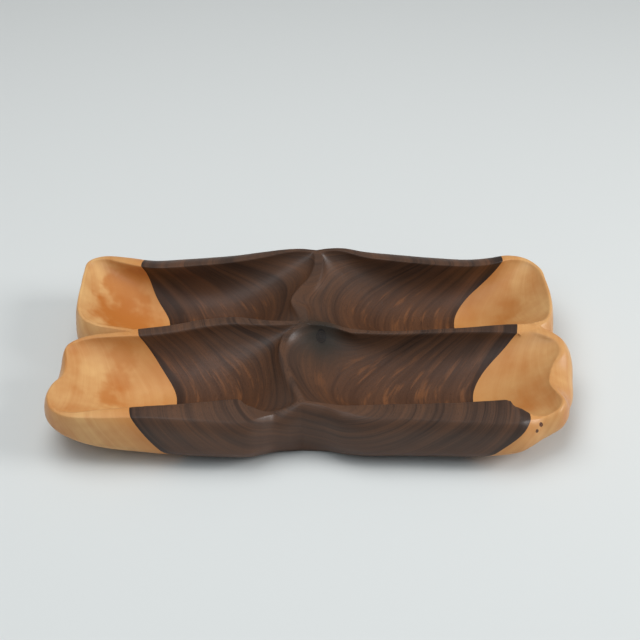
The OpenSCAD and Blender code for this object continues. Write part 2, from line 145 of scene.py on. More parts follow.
@dataclass
class BowlForm:
    """The carved form, as a rule that turns tables of places into a closed mesh.

    The rows of a ridge give its place as shares of half the length and half the width, its
    height as a share of the bowl's height, and its width to the left and right of the crest as
    shares of the broadest half ridge. The rows of a rim give the place and height, the width
    of the band, the bulge of the wall and the height of its belly.
    """

    length: float
    width: float
    height: float
    # Height of the hollows' floors. Widths of the broadest band and half ridge, and how far they
    # fall: the band to the crest at its outer edge, the half ridge from the crest to its inner edge.
    floor: float = 9.0
    band_width: float = 20.0
    band_fall: float = 6.0
    ridge_width: float = 11.0
    ridge_fall: float = 3.0
    # How far a wall with a bulge of 1 stands out, and how far the foot stands in from the half
    # length and the half width.
    belly_out: float = 18.0
    foot_in_length: float = 56.0
    foot_in_width: float = 22.0
    # How softly the sander rounds rims, the ridges between hollows, and a hollow's corners.
    rim_soft: float = 0.7
    ridge_soft: float = 1.5
    corner_soft: float = 6.0
    # How widely a hollow's corners are smoothed at its middle, and how fast that comes on.
    corner_round: float = 80.0
    corner_power: float = 0.45
    # Distances from a crest between which the sanding ends, and how widely it is pulled back so
    # that the crest stays where it was, in times the softness.
    sand_ends: Span = (15.0, 30.0)
    crest_spread: float = 1.5
    # How high the middle of the broadest band rises, and how softly a band narrows.
    band_crown: float = 1.3
    band_soft: float = 3.0
    # Turn of the wall's curve that is already done at the crest, in degrees.
    wall_start: float = 20.0
    # Steps along a ridge and a rim, and rows across the band, the hollow, the wall and the foot.
    ridge_steps: int = 96
    rim_steps: int = 200
    band_rows: int = 12
    hollow_rows: int = 100
    wall_rows: int = 50
    under_rows: int = 24
    foot_rows: int = 20
    # Shares of even spacing in the rows of a hollow as made and as kept: the rest are close
    # together at the crest.
    made_even: float = 0.03
    kept_even: float = 0.25
    # Rows kept in the finished mesh, and the shortest edge in it.
    kept_hollow: int = 54
    kept_wall: int = 34
    shortest: float = 0.12
    # Steps of a rim over which it passes into a ridge.
    corner_steps: int = 8
    ridges: tuple[Rows, ...] = field(default_factory=lambda: (
        [
            [-0.040, 0.090, 0.900, 0.30, 0.15],
            [-0.170, 0.085, 0.920, 0.45, 0.15],
            [-0.300, 0.095, 0.960, 0.60, 0.20],
            [-0.420, 0.075, 0.950, 0.65, 0.20],
            [-0.560, 0.025, 0.918, 0.65, 0.20],
            [-0.700, -0.016, 0.900, 0.60, 0.20],
        ],
        [
            [-0.040, 0.090, 0.900, 0.30, 0.20],
            [-0.095, 0.010, 0.840, 0.30, 0.20],
            [-0.122, -0.120, 0.780, 0.30, 0.20],
            [-0.115, -0.290, 0.750, 0.30, 0.20],
            [-0.090, -0.450, 0.760, 0.30, 0.20],
            [-0.062, -0.600, 0.800, 0.30, 0.20],
            [-0.040, -0.740, 0.850, 0.30, 0.20],
        ],
        [
            [-0.040, 0.090, 0.900, 0.15, 0.30],
            [0.050, 0.085, 0.875, 0.20, 0.35],
            [0.140, 0.030, 0.850, 0.20, 0.30],
            [0.290, 0.000, 0.850, 0.20, 0.25],
            [0.450, 0.005, 0.875, 0.20, 0.30],
            [0.610, 0.020, 0.895, 0.20, 0.40],
            [0.750, 0.045, 0.905, 0.20, 0.60],
            [0.870, 0.055, 0.885, 0.25, 0.80],
        ],
        [
            [-0.040, 0.090, 0.900, 0.15, 0.30],
            [-0.066, 0.240, 0.885, 0.15, 0.80],
            [-0.086, 0.385, 0.840, 0.15, 1.00],
            [-0.060, 0.530, 0.815, 0.15, 0.90],
            [-0.015, 0.660, 0.830, 0.15, 0.70],
            [0.008, 0.790, 0.890, 0.15, 0.60],
            [0.010, 0.910, 0.990, 0.20, 0.40],
        ],
    ))
    rims: tuple[Rows, ...] = field(default_factory=lambda: (
        [
            [-0.700, -0.016, 0.900, 0.30, 1.40, 0.40],
            [-0.775, -0.030, 0.890, 0.28, 1.15, 0.42],
            [-0.842, -0.042, 0.876, 0.25, 0.80, 0.44],
            [-0.900, -0.078, 0.850, 0.18, 0.48, 0.46],
            [-0.940, -0.150, 0.820, 0.13, 0.24, 0.47],
            [-0.935, -0.265, 0.740, 0.12, 0.32, 0.46],
            [-0.935, -0.395, 0.735, 0.12, 0.38, 0.46],
            [-0.960, -0.530, 0.795, 0.12, 0.28, 0.50],
            [-0.968, -0.670, 0.830, 0.13, 0.20, 0.54],
            [-0.940, -0.805, 0.835, 0.15, 0.15, 0.56],
            [-0.875, -0.885, 0.850, 0.25, 0.17, 0.52],
            [-0.760, -0.902, 0.875, 0.42, 0.28, 0.42],
            [-0.610, -0.895, 0.885, 0.52, 0.38, 0.35],
            [-0.450, -0.908, 0.900, 0.72, 0.42, 0.33],
            [-0.330, -0.915, 0.905, 0.92, 0.42, 0.33],
            [-0.240, -0.905, 0.893, 0.94, 0.47, 0.33],
            [-0.185, -0.858, 0.812, 0.56, 0.50, 0.33],
            [-0.140, -0.797, 0.730, 0.18, 0.54, 0.33],
            [-0.090, -0.768, 0.770, 0.10, 0.56, 0.33],
            [-0.040, -0.740, 0.850, 0.12, 0.52, 0.33],
        ],
        [
            [-0.040, -0.740, 0.850, 0.12, 0.52, 0.33],
            [0.030, -0.770, 0.845, 0.16, 0.52, 0.33],
            [0.110, -0.840, 0.865, 0.36, 0.54, 0.33],
            [0.200, -0.885, 0.875, 0.60, 0.48, 0.33],
            [0.320, -0.895, 0.880, 0.66, 0.44, 0.33],
            [0.460, -0.910, 0.890, 0.76, 0.44, 0.33],
            [0.600, -0.925, 0.905, 0.92, 0.43, 0.33],
            [0.720, -0.918, 0.895, 0.98, 0.42, 0.36],
            [0.772, -0.885, 0.815, 0.62, 0.39, 0.40],
            [0.812, -0.850, 0.742, 0.20, 0.33, 0.44],
            [0.850, -0.830, 0.745, 0.12, 0.27, 0.49],
            [0.892, -0.790, 0.795, 0.12, 0.22, 0.52],
            [0.912, -0.705, 0.825, 0.12, 0.28, 0.52],
            [0.898, -0.590, 0.775, 0.12, 0.60, 0.48],
            [0.886, -0.470, 0.715, 0.12, 0.96, 0.46],
            [0.905, -0.330, 0.735, 0.13, 0.86, 0.46],
            [0.950, -0.200, 0.810, 0.18, 0.46, 0.46],
            [0.950, -0.080, 0.845, 0.30, 0.42, 0.45],
            [0.915, 0.000, 0.875, 0.44, 0.55, 0.43],
            [0.870, 0.055, 0.885, 0.40, 0.75, 0.42],
        ],
        [
            [0.870, 0.055, 0.885, 0.40, 0.75, 0.42],
            [0.905, 0.110, 0.870, 0.16, 0.40, 0.44],
            [0.930, 0.210, 0.865, 0.12, 0.20, 0.46],
            [0.942, 0.340, 0.865, 0.12, 0.16, 0.47],
            [0.943, 0.480, 0.865, 0.12, 0.16, 0.48],
            [0.937, 0.620, 0.865, 0.12, 0.17, 0.51],
            [0.925, 0.750, 0.878, 0.13, 0.20, 0.55],
            [0.875, 0.850, 0.915, 0.20, 0.17, 0.54],
            [0.800, 0.880, 0.950, 0.38, 0.24, 0.46],
            [0.720, 0.864, 0.945, 0.58, 0.34, 0.40],
            [0.620, 0.854, 0.940, 0.66, 0.40, 0.36],
            [0.480, 0.870, 0.955, 0.66, 0.42, 0.34],
            [0.340, 0.888, 0.975, 0.60, 0.42, 0.33],
            [0.220, 0.910, 0.980, 0.48, 0.42, 0.33],
            [0.125, 0.935, 1.000, 0.28, 0.42, 0.33],
            [0.060, 0.930, 1.000, 0.18, 0.45, 0.33],
            [0.010, 0.910, 0.990, 0.14, 0.50, 0.33],
        ],
        [
            [0.010, 0.910, 0.990, 0.14, 0.50, 0.33],
            [-0.050, 0.925, 1.000, 0.18, 0.46, 0.33],
            [-0.120, 0.920, 1.000, 0.28, 0.42, 0.33],
            [-0.220, 0.899, 0.988, 0.46, 0.42, 0.33],
            [-0.350, 0.870, 0.980, 0.64, 0.42, 0.33],
            [-0.500, 0.848, 0.974, 0.72, 0.42, 0.34],
            [-0.650, 0.842, 0.950, 0.74, 0.40, 0.37],
            [-0.770, 0.864, 0.946, 0.52, 0.28, 0.44],
            [-0.865, 0.875, 0.930, 0.24, 0.17, 0.53],
            [-0.925, 0.820, 0.905, 0.14, 0.18, 0.55],
            [-0.935, 0.700, 0.882, 0.12, 0.17, 0.52],
            [-0.936, 0.550, 0.870, 0.12, 0.15, 0.48],
            [-0.936, 0.400, 0.865, 0.12, 0.15, 0.47],
            [-0.928, 0.260, 0.865, 0.12, 0.18, 0.46],
            [-0.898, 0.140, 0.865, 0.13, 0.34, 0.45],
            [-0.842, 0.066, 0.868, 0.14, 0.70, 0.44],
            [-0.775, 0.024, 0.880, 0.16, 1.10, 0.42],
            [-0.700, -0.016, 0.900, 0.20, 1.40, 0.40],
        ],
    ))
    # Middles of the hollows and half sizes of their round floors, as shares like those above.
    hollows: Rows = field(default_factory=lambda: [
        [-0.500, -0.420, 0.380, 0.330],
        [0.400, -0.420, 0.450, 0.340],
        [0.470, 0.440, 0.420, 0.330],
        [-0.490, 0.430, 0.410, 0.330],
    ])
    # Curves of a hollow: its floor, its walls at the ends and at the sides, and its plan.
    floor_power: float = 3.0
    end_power: float = 1.15
    side_power: float = 2.0
    round_power: float = 4.0
    # Curves of the bowl's plan, of the foot's plan, and of the underside between belly and foot.
    plan_power: float = 2.0
    foot_power: float = 3.2
    under_power: float = 1.6
    # Width from which a rim's band runs straight in, and the least cosine between its way and that.
    square_width: float = 8.0
    skew_limit: float = 0.35

    def __post_init__(self) -> None:
        """Works out the half sizes, the smoothed rims and the size of the plan."""
        self.half = np.array([self.length / 2, self.width / 2])
        shares = np.arange(self.rim_steps) / self.rim_steps
        self.columns = np.vstack([self.smoothed(rim, shares) for rim in self.rims])
        bellies = self.belly(self.columns)
        self.low, self.high = bellies.min(axis=0), bellies.max(axis=0)
        self.top_share = self.columns[:, 2].max()

    @property
    def rim_places(self) -> slice:
        """The places of a crest loop that lie on the rim."""
        return slice(self.ridge_steps, self.ridge_steps + self.rim_steps + 1)

    @staticmethod
    def smoothed(table: Rows, shares: np.ndarray) -> np.ndarray:
        """Smooth rows of a table at shares of its length, through every row it has.

        Between two rows, b and c, the curve leaves b the way from a to c and reaches c the way
        from b to d.

        Args:
            table: Rows of the table, as given.
            shares: Places along the table, 0 to 1.

        Returns:
            One smoothed row for each share.
        """
        rows = np.array(table)
        rows = np.vstack([2 * rows[0] - rows[1], rows, 2 * rows[-1] - rows[-2]])
        last = len(table) - 1
        step = np.minimum((shares * last).astype(int), last - 1)
        s = (shares * last - step)[:, None]
        a, b, c, d = (rows[step + i] for i in range(4))
        return (b + (c - a) * s / 2 + (2 * a - 5 * b + 4 * c - d) * s**2 / 2
                + (3 * b - a - 3 * c + d) * s**3 / 2)

    def place(self, rows: np.ndarray) -> np.ndarray:
        """Places on the plan of the rows of a table, before the plan is brought to size."""
        return rows[:, :2] * self.half

    def belly(self, rows: np.ndarray) -> np.ndarray:
        """Places on the plan where the outer wall stands out furthest.

        Args:
            rows: Smoothed rows of the rims.

        Returns:
            One place for each row.
        """
        spot = self.place(rows)
        out = np.sign(spot) * (np.abs(spot) / self.half) ** self.plan_power
        return spot + out / lengths(out) * rows[:, 4:5] * self.belly_out

    def sized(self, spot: np.ndarray, height: np.ndarray) -> np.ndarray:
        """Brings places on the plan and heights to the stated size, centred on the origin.

        Args:
            spot: Places on the plan.
            height: Height at each place.

        Returns:
            One point for each place.
        """
        full = np.array([self.length, self.width])
        flat = (spot - (self.low + self.high) / 2) * full / (self.high - self.low)
        return np.column_stack([flat, height / self.top_share])

    def loop(self, which: int) -> tuple[np.ndarray, np.ndarray, np.ndarray]:
        """The crest loop round a hollow: out along one ridge, round the rim, back by the next.

        Args:
            which: Number of the hollow.

        Returns:
            Crest points, width of the flat inside each, and height of the flat's inner edge.
        """
        along = np.arange(self.ridge_steps + 1) / self.ridge_steps
        near = self.smoothed(self.ridges[which], along)
        far = self.smoothed(self.ridges[(which + 1) % len(self.ridges)], along)[:0:-1]
        rim = self.smoothed(self.rims[which], np.arange(1, self.rim_steps) / self.rim_steps)
        fall = self.band_fall * rim[:, 3] ** 2
        crest = np.vstack([
            self.sized(self.place(near), near[:, 2] * self.height),
            self.sized(self.place(rim), rim[:, 2] * self.height - fall),
            self.sized(self.place(far), far[:, 2] * self.height),
        ])
        flat = np.concatenate([near[:, 3] * self.ridge_width, rim[:, 3] * self.band_width,
                               far[:, 4] * self.ridge_width])
        inner = np.concatenate([
            near[:, 2] * self.height - self.ridge_fall * near[:, 3] ** 2,
            rim[:, 2] * self.height,
            far[:, 2] * self.height - self.ridge_fall * far[:, 4] ** 2,
        ]) / self.top_share
        spacing = lengths(np.roll(crest, -1, axis=0) - crest).mean()
        flat = self.blurred(flat, spacing, self.band_soft)
        inner = self.blurred(inner, spacing, self.band_soft)
        return crest, flat, inner

    @staticmethod
    def blurred(values: np.ndarray, spacing: float, radius: float) -> np.ndarray:
        """Values round a closed loop, smoothed over a radius.

        Args:
            values: One value or row for each point of the loop.
            spacing: Mean distance between the points.
            radius: Spread of the smoothing.

        Returns:
            The smoothed values.
        """
        turns = np.fft.rfftfreq(len(values), d=spacing)
        keep = np.exp(-2.0 * (math.pi * turns * radius) ** 2)
        waves = np.fft.rfft(values, axis=0)
        return np.fft.irfft(waves * keep.reshape(-1, *[1] * (values.ndim - 1)), len(values), axis=0)

    def rim_shares(self) -> np.ndarray:
        """How far each place of a crest loop belongs to the rim.

        Returns:
            0 on the ridges and 1 on the rim, with a soft step where they meet.
        """
        plain = np.pad(np.ones(self.rim_steps + 1 - 2 * self.corner_steps), self.corner_steps)
        shares = np.zeros(2 * self.ridge_steps + self.rim_steps)
        shares[self.rim_places] = self.blurred(plain, 1.0, self.corner_steps / 2)
        return shares

    def band_reach(self, spot: np.ndarray, middle: np.ndarray, flat: np.ndarray,
                   on_rim: np.ndarray) -> np.ndarray:
        """Where the flat inside a crest loop ends.

        A broad band runs straight in from the crest, and a narrow one towards the middle.

        Args:
            spot: Places of the crest loop on the plan.
            middle: Middle of the hollow on the plan.
            flat: Width of the flat at each place.
            on_rim: How far each place belongs to the rim, 0 to 1.

        Returns:
            Ways from the middle to the inner edge of the flat.
        """
        along = np.roll(spot, -1, axis=0) - np.roll(spot, 1, axis=0)
        along /= lengths(along)
        inward = np.column_stack([-along[:, 1], along[:, 0]])
        square = (on_rim * np.clip(flat / self.square_width, 0.0, 1.0))[:, None]
        way = (middle - spot) / lengths(middle - spot)
        way = way + (inward - way) * square
        way /= lengths(way)
        lean = np.maximum(self.skew_limit, (way * inward).sum(axis=1))
        reach = spot + way * (flat / lean)[:, None] - middle
        corner = (1.0 - np.abs(2.0 * on_rim - 1.0))[:, None]
        spacing = lengths(np.roll(reach, -1, axis=0) - reach).mean()
        return reach + (self.blurred(reach, spacing, self.corner_soft) - reach) * corner

    def hollow(self, which: int) -> tuple[np.ndarray, np.ndarray]:
        """The rows of points of a hollow, from its crest loop down to its middle.

        Args:
            which: Number of the hollow.

        Returns:
            Points by row and by place round the loop, the crest loop first and the middle last,
            and how far each place belongs to the rim, 0 to 1.
        """
        crest, flat, inner = self.loop(which)
        on_rim = self.rim_shares()
        shares = np.array([self.hollows[which]])
        middle = self.sized(shares[:, :2] * self.half, np.zeros(1))[0, :2]
        floor_half = shares[0, 2:] * self.half
        reach = self.band_reach(crest[:, :2], middle, flat, on_rim)
        edge = np.column_stack([reach + middle, inner])
        crown = np.zeros_like(crest)
        crown[:, 2] = 4.0 * self.band_crown * on_rim * flat / self.band_width
        rows = [crest + (edge - crest) * share + crown * share * (1.0 - share)
                for share in self.spread(self.band_rows, both=True)[:-1]]
        rows += [self.hollow_row(1.0 - share, middle, floor_half, reach, inner)
                 for share in self.spread(self.hollow_rows, both=False)]
        return np.array(rows), on_rim

    @staticmethod
    def runs(rows: np.ndarray) -> np.ndarray:
        """Distances from the crest along each column of points."""
        steps = np.linalg.norm(np.diff(rows, axis=0), axis=2)
        return np.vstack([np.zeros(rows.shape[1]), np.cumsum(steps, axis=0)])

    @classmethod
    def at_runs(cls, rows: np.ndarray, wanted: np.ndarray) -> np.ndarray:
        """Points of each column at the distances wanted from its crest.

        Args:
            rows: Points by row and by column.
            wanted: Distances by row and by column.

        Returns:
            The points, by row and by column.
        """
        run = cls.runs(rows)
        found = np.empty((*wanted.shape, 3))
        for column in range(rows.shape[1]):
            for axis in range(3):
                found[:, column, axis] = np.interp(wanted[:, column], run[:, column],
                                                   rows[:, column, axis])
        return found

    def sanded(self, rows: np.ndarray, beyond: np.ndarray, share: np.ndarray,
               soft: np.ndarray) -> np.ndarray:
        """Rounds the profile of each column, as sanding does, and keeps its crest.

        Args:
            rows: Points by row and by column, from the crest away.
            beyond: Points of the same columns on the other side of the crest.
            share: Share of that other side in the rounding; the rest is a mirror image.
            soft: Spread of the rounding in each column.

        Returns:
            The rounded points.
        """
        run = self.runs(rows)
        steps = np.diff(run, axis=0)
        nothing = np.zeros((1, rows.shape[1]))
        weight = np.vstack([steps, nothing]) + np.vstack([nothing, steps])
        other = 2.0 * rows[0] - rows
        other[:, :, 2] = rows[:, :, 2]
        other += (self.at_runs(beyond, run) - other) * share[:, None]
        result = np.empty_like(rows)
        for k, here in enumerate(run):
            near = np.exp(-0.5 * ((here - run) / soft) ** 2) * weight
            far = np.exp(-0.5 * ((here + run) / soft) ** 2) * weight
            total = (near + far).sum(axis=0)[:, None]
            result[k] = (near[:, :, None] * rows + far[:, :, None] * other).sum(axis=0) / total
        lost = rows[0] - result[0]
        result += lost * np.exp(-0.5 * (run / (self.crest_spread * soft)) ** 2)[:, :, None]
        keep = faded(*self.sand_ends, run)[:, :, None]
        return result + (rows - result) * keep

    def kept(self, rows: np.ndarray, count: int) -> np.ndarray:
        """Chooses evenly graded rows: close together at the crest and wider apart further on.

        Args:
            rows: Points by row and by column.
            count: Number of steps.

        Returns:
            The rows, with the first and the last one kept.
        """
        even = np.arange(count + 1) / count
        graded = self.kept_even * even + (1.0 - self.kept_even) * even**2
        return self.at_runs(rows, graded[:, None] * self.runs(rows)[-1])

    def spread(self, count: int, both: bool) -> np.ndarray:
        """Shares of the way across a strip, closer together at its edges.

        Args:
            count: Number of steps.
            both: Whether the far edge is a sharp one too.

        Returns:
            Shares from 0 to 1.
        """
        even = np.arange(count + 1) / count
        if both:
            return (1.0 - np.cos(math.pi * even)) / 2
        return self.made_even * even + (1.0 - self.made_even) * even**2

    def hollow_row(self, t: float, middle: np.ndarray, floor_half: np.ndarray,
                   reach: np.ndarray, edge: np.ndarray) -> np.ndarray:
        """One row of a hollow, a share t of the way from its middle to its edge.

        Args:
            t: Share of the way out, 1 at the edge.
            middle: Middle of the hollow on the plan.
            floor_half: Half length and half width of the round floor.
            reach: Ways from the middle to the edge.
            edge: Heights of the edge.

        Returns:
            The points of the row.
        """
        around = lengths(np.roll(reach, -1, axis=0) - reach).mean()
        radius = self.corner_round * (1.0 - t) ** self.corner_power
        reach = self.blurred(reach, around, radius)
        edge = self.blurred(edge, around, radius)
        across = reach / floor_half
        swell = 1.0 / lengths(across)[:, 0]
        side = (across[:, 1] * swell) ** 2
        power = self.end_power + (self.side_power - self.end_power) * side
        spot = middle + reach * t * (swell + (1.0 - swell) * t**self.round_power)[:, None]
        deep = (1.0 - t**self.floor_power) ** (1.0 / power)
        return np.column_stack([spot, edge + (self.floor - edge) * deep])

    def wall(self) -> np.ndarray:
        """The rows of points of the outer wall, from below the rim to the edge of the foot.

        Returns:
            Points by row and by place round the bowl.
        """
        rows = self.columns
        fall = self.band_fall * rows[:, 3] ** 2
        top = self.sized(self.place(rows), rows[:, 2] * self.height - fall)
        wide = self.sized(self.belly(rows), rows[:, 5] * self.height)
        foot_half = self.half - np.array([self.foot_in_length, self.foot_in_width])
        spread = ((np.abs(wide[:, :2]) / foot_half) ** self.foot_power).sum(axis=1)
        foot = wide / spread[:, None] ** (1.0 / self.foot_power)
        foot[:, 2] = 0.0
        points = []
        quarter = math.radians(90.0)
        start = math.radians(self.wall_start)
        for share in np.arange(1, self.wall_rows + 1) / self.wall_rows:
            turn = start + (quarter - start) * share
            out = (math.sin(turn) - math.sin(start)) / (1.0 - math.sin(start))
            flat = top + (wide - top) * out
            flat[:, 2] = wide[:, 2] + (top[:, 2] - wide[:, 2]) * math.cos(turn) / math.cos(start)
            points.append(flat)
        power = 2.0 / self.under_power
        for step in range(1, self.under_rows + 1):
            turn = quarter * step / self.under_rows
            flat = foot + (wide - foot) * abs(math.cos(turn)) ** power
            flat[:, 2] = wide[:, 2] * (1.0 - math.sin(turn) ** power)
            points.append(flat)
        return np.array(points)

    def make(self, name: str) -> bpy.types.Object:
        """Builds the whole form as one closed mesh, its edges rounded.

        Args:
            name: Name of the object.

        Returns:
            The object.
        """
        points: list[np.ndarray] = []
        faces: list[tuple[int, ...]] = []
        wall = self.wall()
        around = wall.shape[1]
        outside = np.empty((self.kept_wall + 1, around, 3))
        rim = self.rim_places
        for which in range(len(self.hollows)):
            rows, on_rim = self.hollow(which)
            soft = self.ridge_soft + (self.rim_soft - self.ridge_soft) * on_rim
            columns = (which * self.rim_steps + np.arange(self.rim_steps + 1)) % around
            down = np.vstack([rows[:1, rim], wall[:, columns]])
            beyond = rows.copy()
            beyond[:, rim] = self.at_runs(down, self.runs(rows[:, rim]))
            inner = self.kept(self.sanded(rows, beyond, on_rim, soft), self.kept_hollow)
            outer = self.kept(self.sanded(down, rows[:, rim], on_rim[rim], soft[rim]), self.kept_wall)
            outside[:, columns[:-1]] = outer[:, :-1]
            first = sum(len(part) for part in points)
            faces += self.grid_faces(first, self.kept_hollow, inner.shape[1], True)
            points += [inner[:-1].reshape(-1, 3), inner[-1, :1]]
        foot = [outside[-1] * (1.0 - step / self.foot_rows) ** 2 for step in range(1, self.foot_rows)]
        first = sum(len(part) for part in points)
        faces += self.grid_faces(first, self.kept_wall + self.foot_rows, around, False)
        points += [outside.reshape(-1, 3), np.array(foot).reshape(-1, 3), np.zeros((1, 3))]
        shape = mesh_object(name, np.vstack(points), faces)
        self.weld(shape)
        return shape

    @staticmethod
    def grid_faces(start: int, rows: int, columns: int, inward: bool) -> list[tuple[int, ...]]:
        """Faces of a grid of points that is closed round its columns and ends in one point.

        Args:
            start: Number of the grid's first point.
            rows: Rows of points before the last single one.
            columns: Points in a row.
            inward: Whether the rows run towards the middle of a hollow.

        Returns:
            The faces, anticlockwise from outside.
        """
        faces: list[tuple[int, ...]] = []
        for i in range(columns):
            j = (i + 1) % columns
            strips = [(start + r * columns + i, start + r * columns + j) for r in range(rows)]
            for (a, b), (c, d) in zip(strips, strips[1:]):
                faces.append((a, b, d, c) if inward else (b, a, c, d))
            a, b = strips[-1]
            last = start + rows * columns
            faces.append((a, b, last) if inward else (b, a, last))
        return faces

    def weld(self, shape: bpy.types.Object) -> None:
        """Joins the hollows and the wall along their shared crests, and points that crowd.

        Args:
            shape: The form, whose mesh becomes one of triangles.
        """
        work = bmesh.new()
        work.from_mesh(shape.data)
        bmesh.ops.remove_doubles(work, verts=work.verts, dist=self.shortest * MM)
        bmesh.ops.dissolve_degenerate(work, edges=work.edges, dist=self.shortest / 2 * MM)
        bmesh.ops.triangulate(work, faces=work.faces)
        work.to_mesh(shape.data)
        work.free()


@dataclass(frozen=True)
class TreeTrunk:
    """The log that the plank was cut across: its middle lies above the bowl, along its width."""

    # Where the middle of the log lies, and its turn from straight back, in degrees.
    pith_x: float = 6.0
    pith_z: float = 142.0
    grain_turn: float = 2.5
    # Radius of the last dark ring, and the steps round it.
    ring_radius: float = 171.63
    ring_steps: int = 720
    # How far the last dark ring is out of round: turns in degrees and shares of its radius.
    ring_turns: tuple[float, ...] = (0, 90, 180, 212, 218, 222, 226, 231, 238, 302, 309, 316, 321,
                                     326, 360)
    ring_shares: tuple[float, ...] = (1.048, 1.010, 1.0, 1.0, 1.006, 1.014, 1.020, 1.017, 1.008, 1.0,
                                      1.010, 1.010, 1.032, 1.048, 1.048)
    # Turn over which the out-of-round ring is smoothed, in ring steps.
    ring_blur: int = 24
    # How far the last dark ring wanders in and out, and over what length. Then its coarse and fine
    # turns in that length, how much the fine ones count, and how much they lean with the height.
    wander: float = 0.7
    wander_length: float = 38.0
    wander_turns: tuple[float, float] = (1.7, 4.1)
    wander_fine: float = 0.6
    wander_lean: float = 2.0
    # How far the sapwood stands back in the hollow at the back left, the width behind the middle
    # over which that begins, and the heights between which it ends.
    back_left_shift: float = 9.0
    back_left_width: float = 25.0
    back_left_heights: Span = (12.0, 48.0)
    # Where the knots show and how wide they are there. The pin knots run into the wall by a depth,
    # each in a way of its own, in degrees from straight right.
    branch_spot: tuple[float, float, float] = (5.6, 1.1, 38.48)
    branch_width: float = 8.0
    pin_spots: tuple[tuple[float, float, float], ...] = ((164.0, -96.2, 34.6), (160.6, -99.2, 31.6))
    pin_widths: tuple[float, ...] = (3.2, 2.88)
    pin_depth: float = 6.0
    pin_ways: tuple[float, ...] = (-48.4, -51.3)

    def ring_profile(self, side: float) -> tuple[np.ndarray, np.ndarray]:
        """The lower quarter of the last dark ring on one side, seen along the log.

        Args:
            side: -1 for the left and 1 for the right.

        Returns:
            Rising heights, and how far right of the middle of the log the ring is at each.
        """
        turns = np.arange(self.ring_steps + 1) * 360.0 / self.ring_steps
        shares = np.interp(turns, self.ring_turns, self.ring_shares)
        hat = np.hanning(self.ring_blur + 2)
        padded = np.pad(shares[:-1], self.ring_blur, mode="wrap")
        shares = np.convolve(padded, hat / hat.sum(), mode="same")[self.ring_blur:-self.ring_blur]
        radius = self.ring_radius * np.append(shares, shares[0])
        half = (turns >= 270.0) if side > 0 else (turns >= 180.0) & (turns <= 270.0)
        across = (radius * np.cos(np.radians(turns)))[half]
        height = (self.pith_z + radius * np.sin(np.radians(turns)))[half]
        order = np.argsort(height)
        return height[order], across[order]

    def past_ring(self, side: float, points: np.ndarray) -> np.ndarray:
        """How far points lie inside the last dark ring, towards the other end of the bowl.

        Args:
            side: -1 for the left end and 1 for the right.
            points: Points in millimetres.

        Returns:
            One distance for each point, below 0 in the sapwood.
        """
        x, y, z = points.T
        turn = math.radians(self.grain_turn)
        across = np.interp(z, *self.ring_profile(side))
        edge = self.pith_x + (across - y * math.sin(turn)) / math.cos(turn)
        along, up = y / self.wander_length, z / self.wander_length
        coarse = np.sin(along * self.wander_turns[0] + self.wander_lean * np.sin(up))
        fine = np.sin(along * self.wander_turns[1] + self.wander_lean * up)
        edge += self.wander * (coarse + self.wander_fine * fine) / (1.0 + self.wander_fine)
        if side < 0:
            back = faded(0.0, self.back_left_width, y)
            edge -= self.back_left_shift * back * (1.0 - faded(*self.back_left_heights, z))
        return (edge - x) * side

    @property
    def branch_axis(self) -> tuple[np.ndarray, np.ndarray]:
        """The middle line of the branch knot.

        Returns:
            Its start at the middle of the log, and its way down from there.
        """
        spot = np.array(self.branch_spot)
        start = np.array([self.pith_x - spot[1] * math.tan(math.radians(self.grain_turn)), spot[1],
                          self.pith_z])
        return start, (spot - start) / np.linalg.norm(spot - start)

    def past_branch(self, points: np.ndarray) -> np.ndarray:
        """How far points lie outside the branch knot, which widens from the middle of the log.

        Args:
            points: Points in millimetres.

        Returns:
            One distance for each point, below 0 in the knot.
        """
        start, way = self.branch_axis
        run, gap = self.along(points, start, way)
        spot_run = np.linalg.norm(np.array(self.branch_spot) - start)
        return gap - self.branch_width / 2 * run / spot_run

    def past_pin(self, which: int, points: np.ndarray) -> np.ndarray:
        """How far points lie outside a pin knot, counting all that is deeper as outside."""
        run, gap = self.along(points, np.array(self.pin_spots[which]), self.pin_way(which))
        return np.where(run > -self.pin_depth, gap - self.pin_widths[which] / 2, 1.0)

    def pin_way(self, which: int) -> np.ndarray:
        """The way out of the wall that a pin knot runs."""
        turn = math.radians(self.pin_ways[which])
        return np.array([math.cos(turn), math.sin(turn), 0.0])

    @staticmethod
    def along(points: np.ndarray, start: np.ndarray, way: np.ndarray) -> tuple[np.ndarray, np.ndarray]:
        """Distances of points along a line and from it."""
        run = (points - start) @ way
        return run, np.linalg.norm(points - start - run[:, None] * way, axis=1)


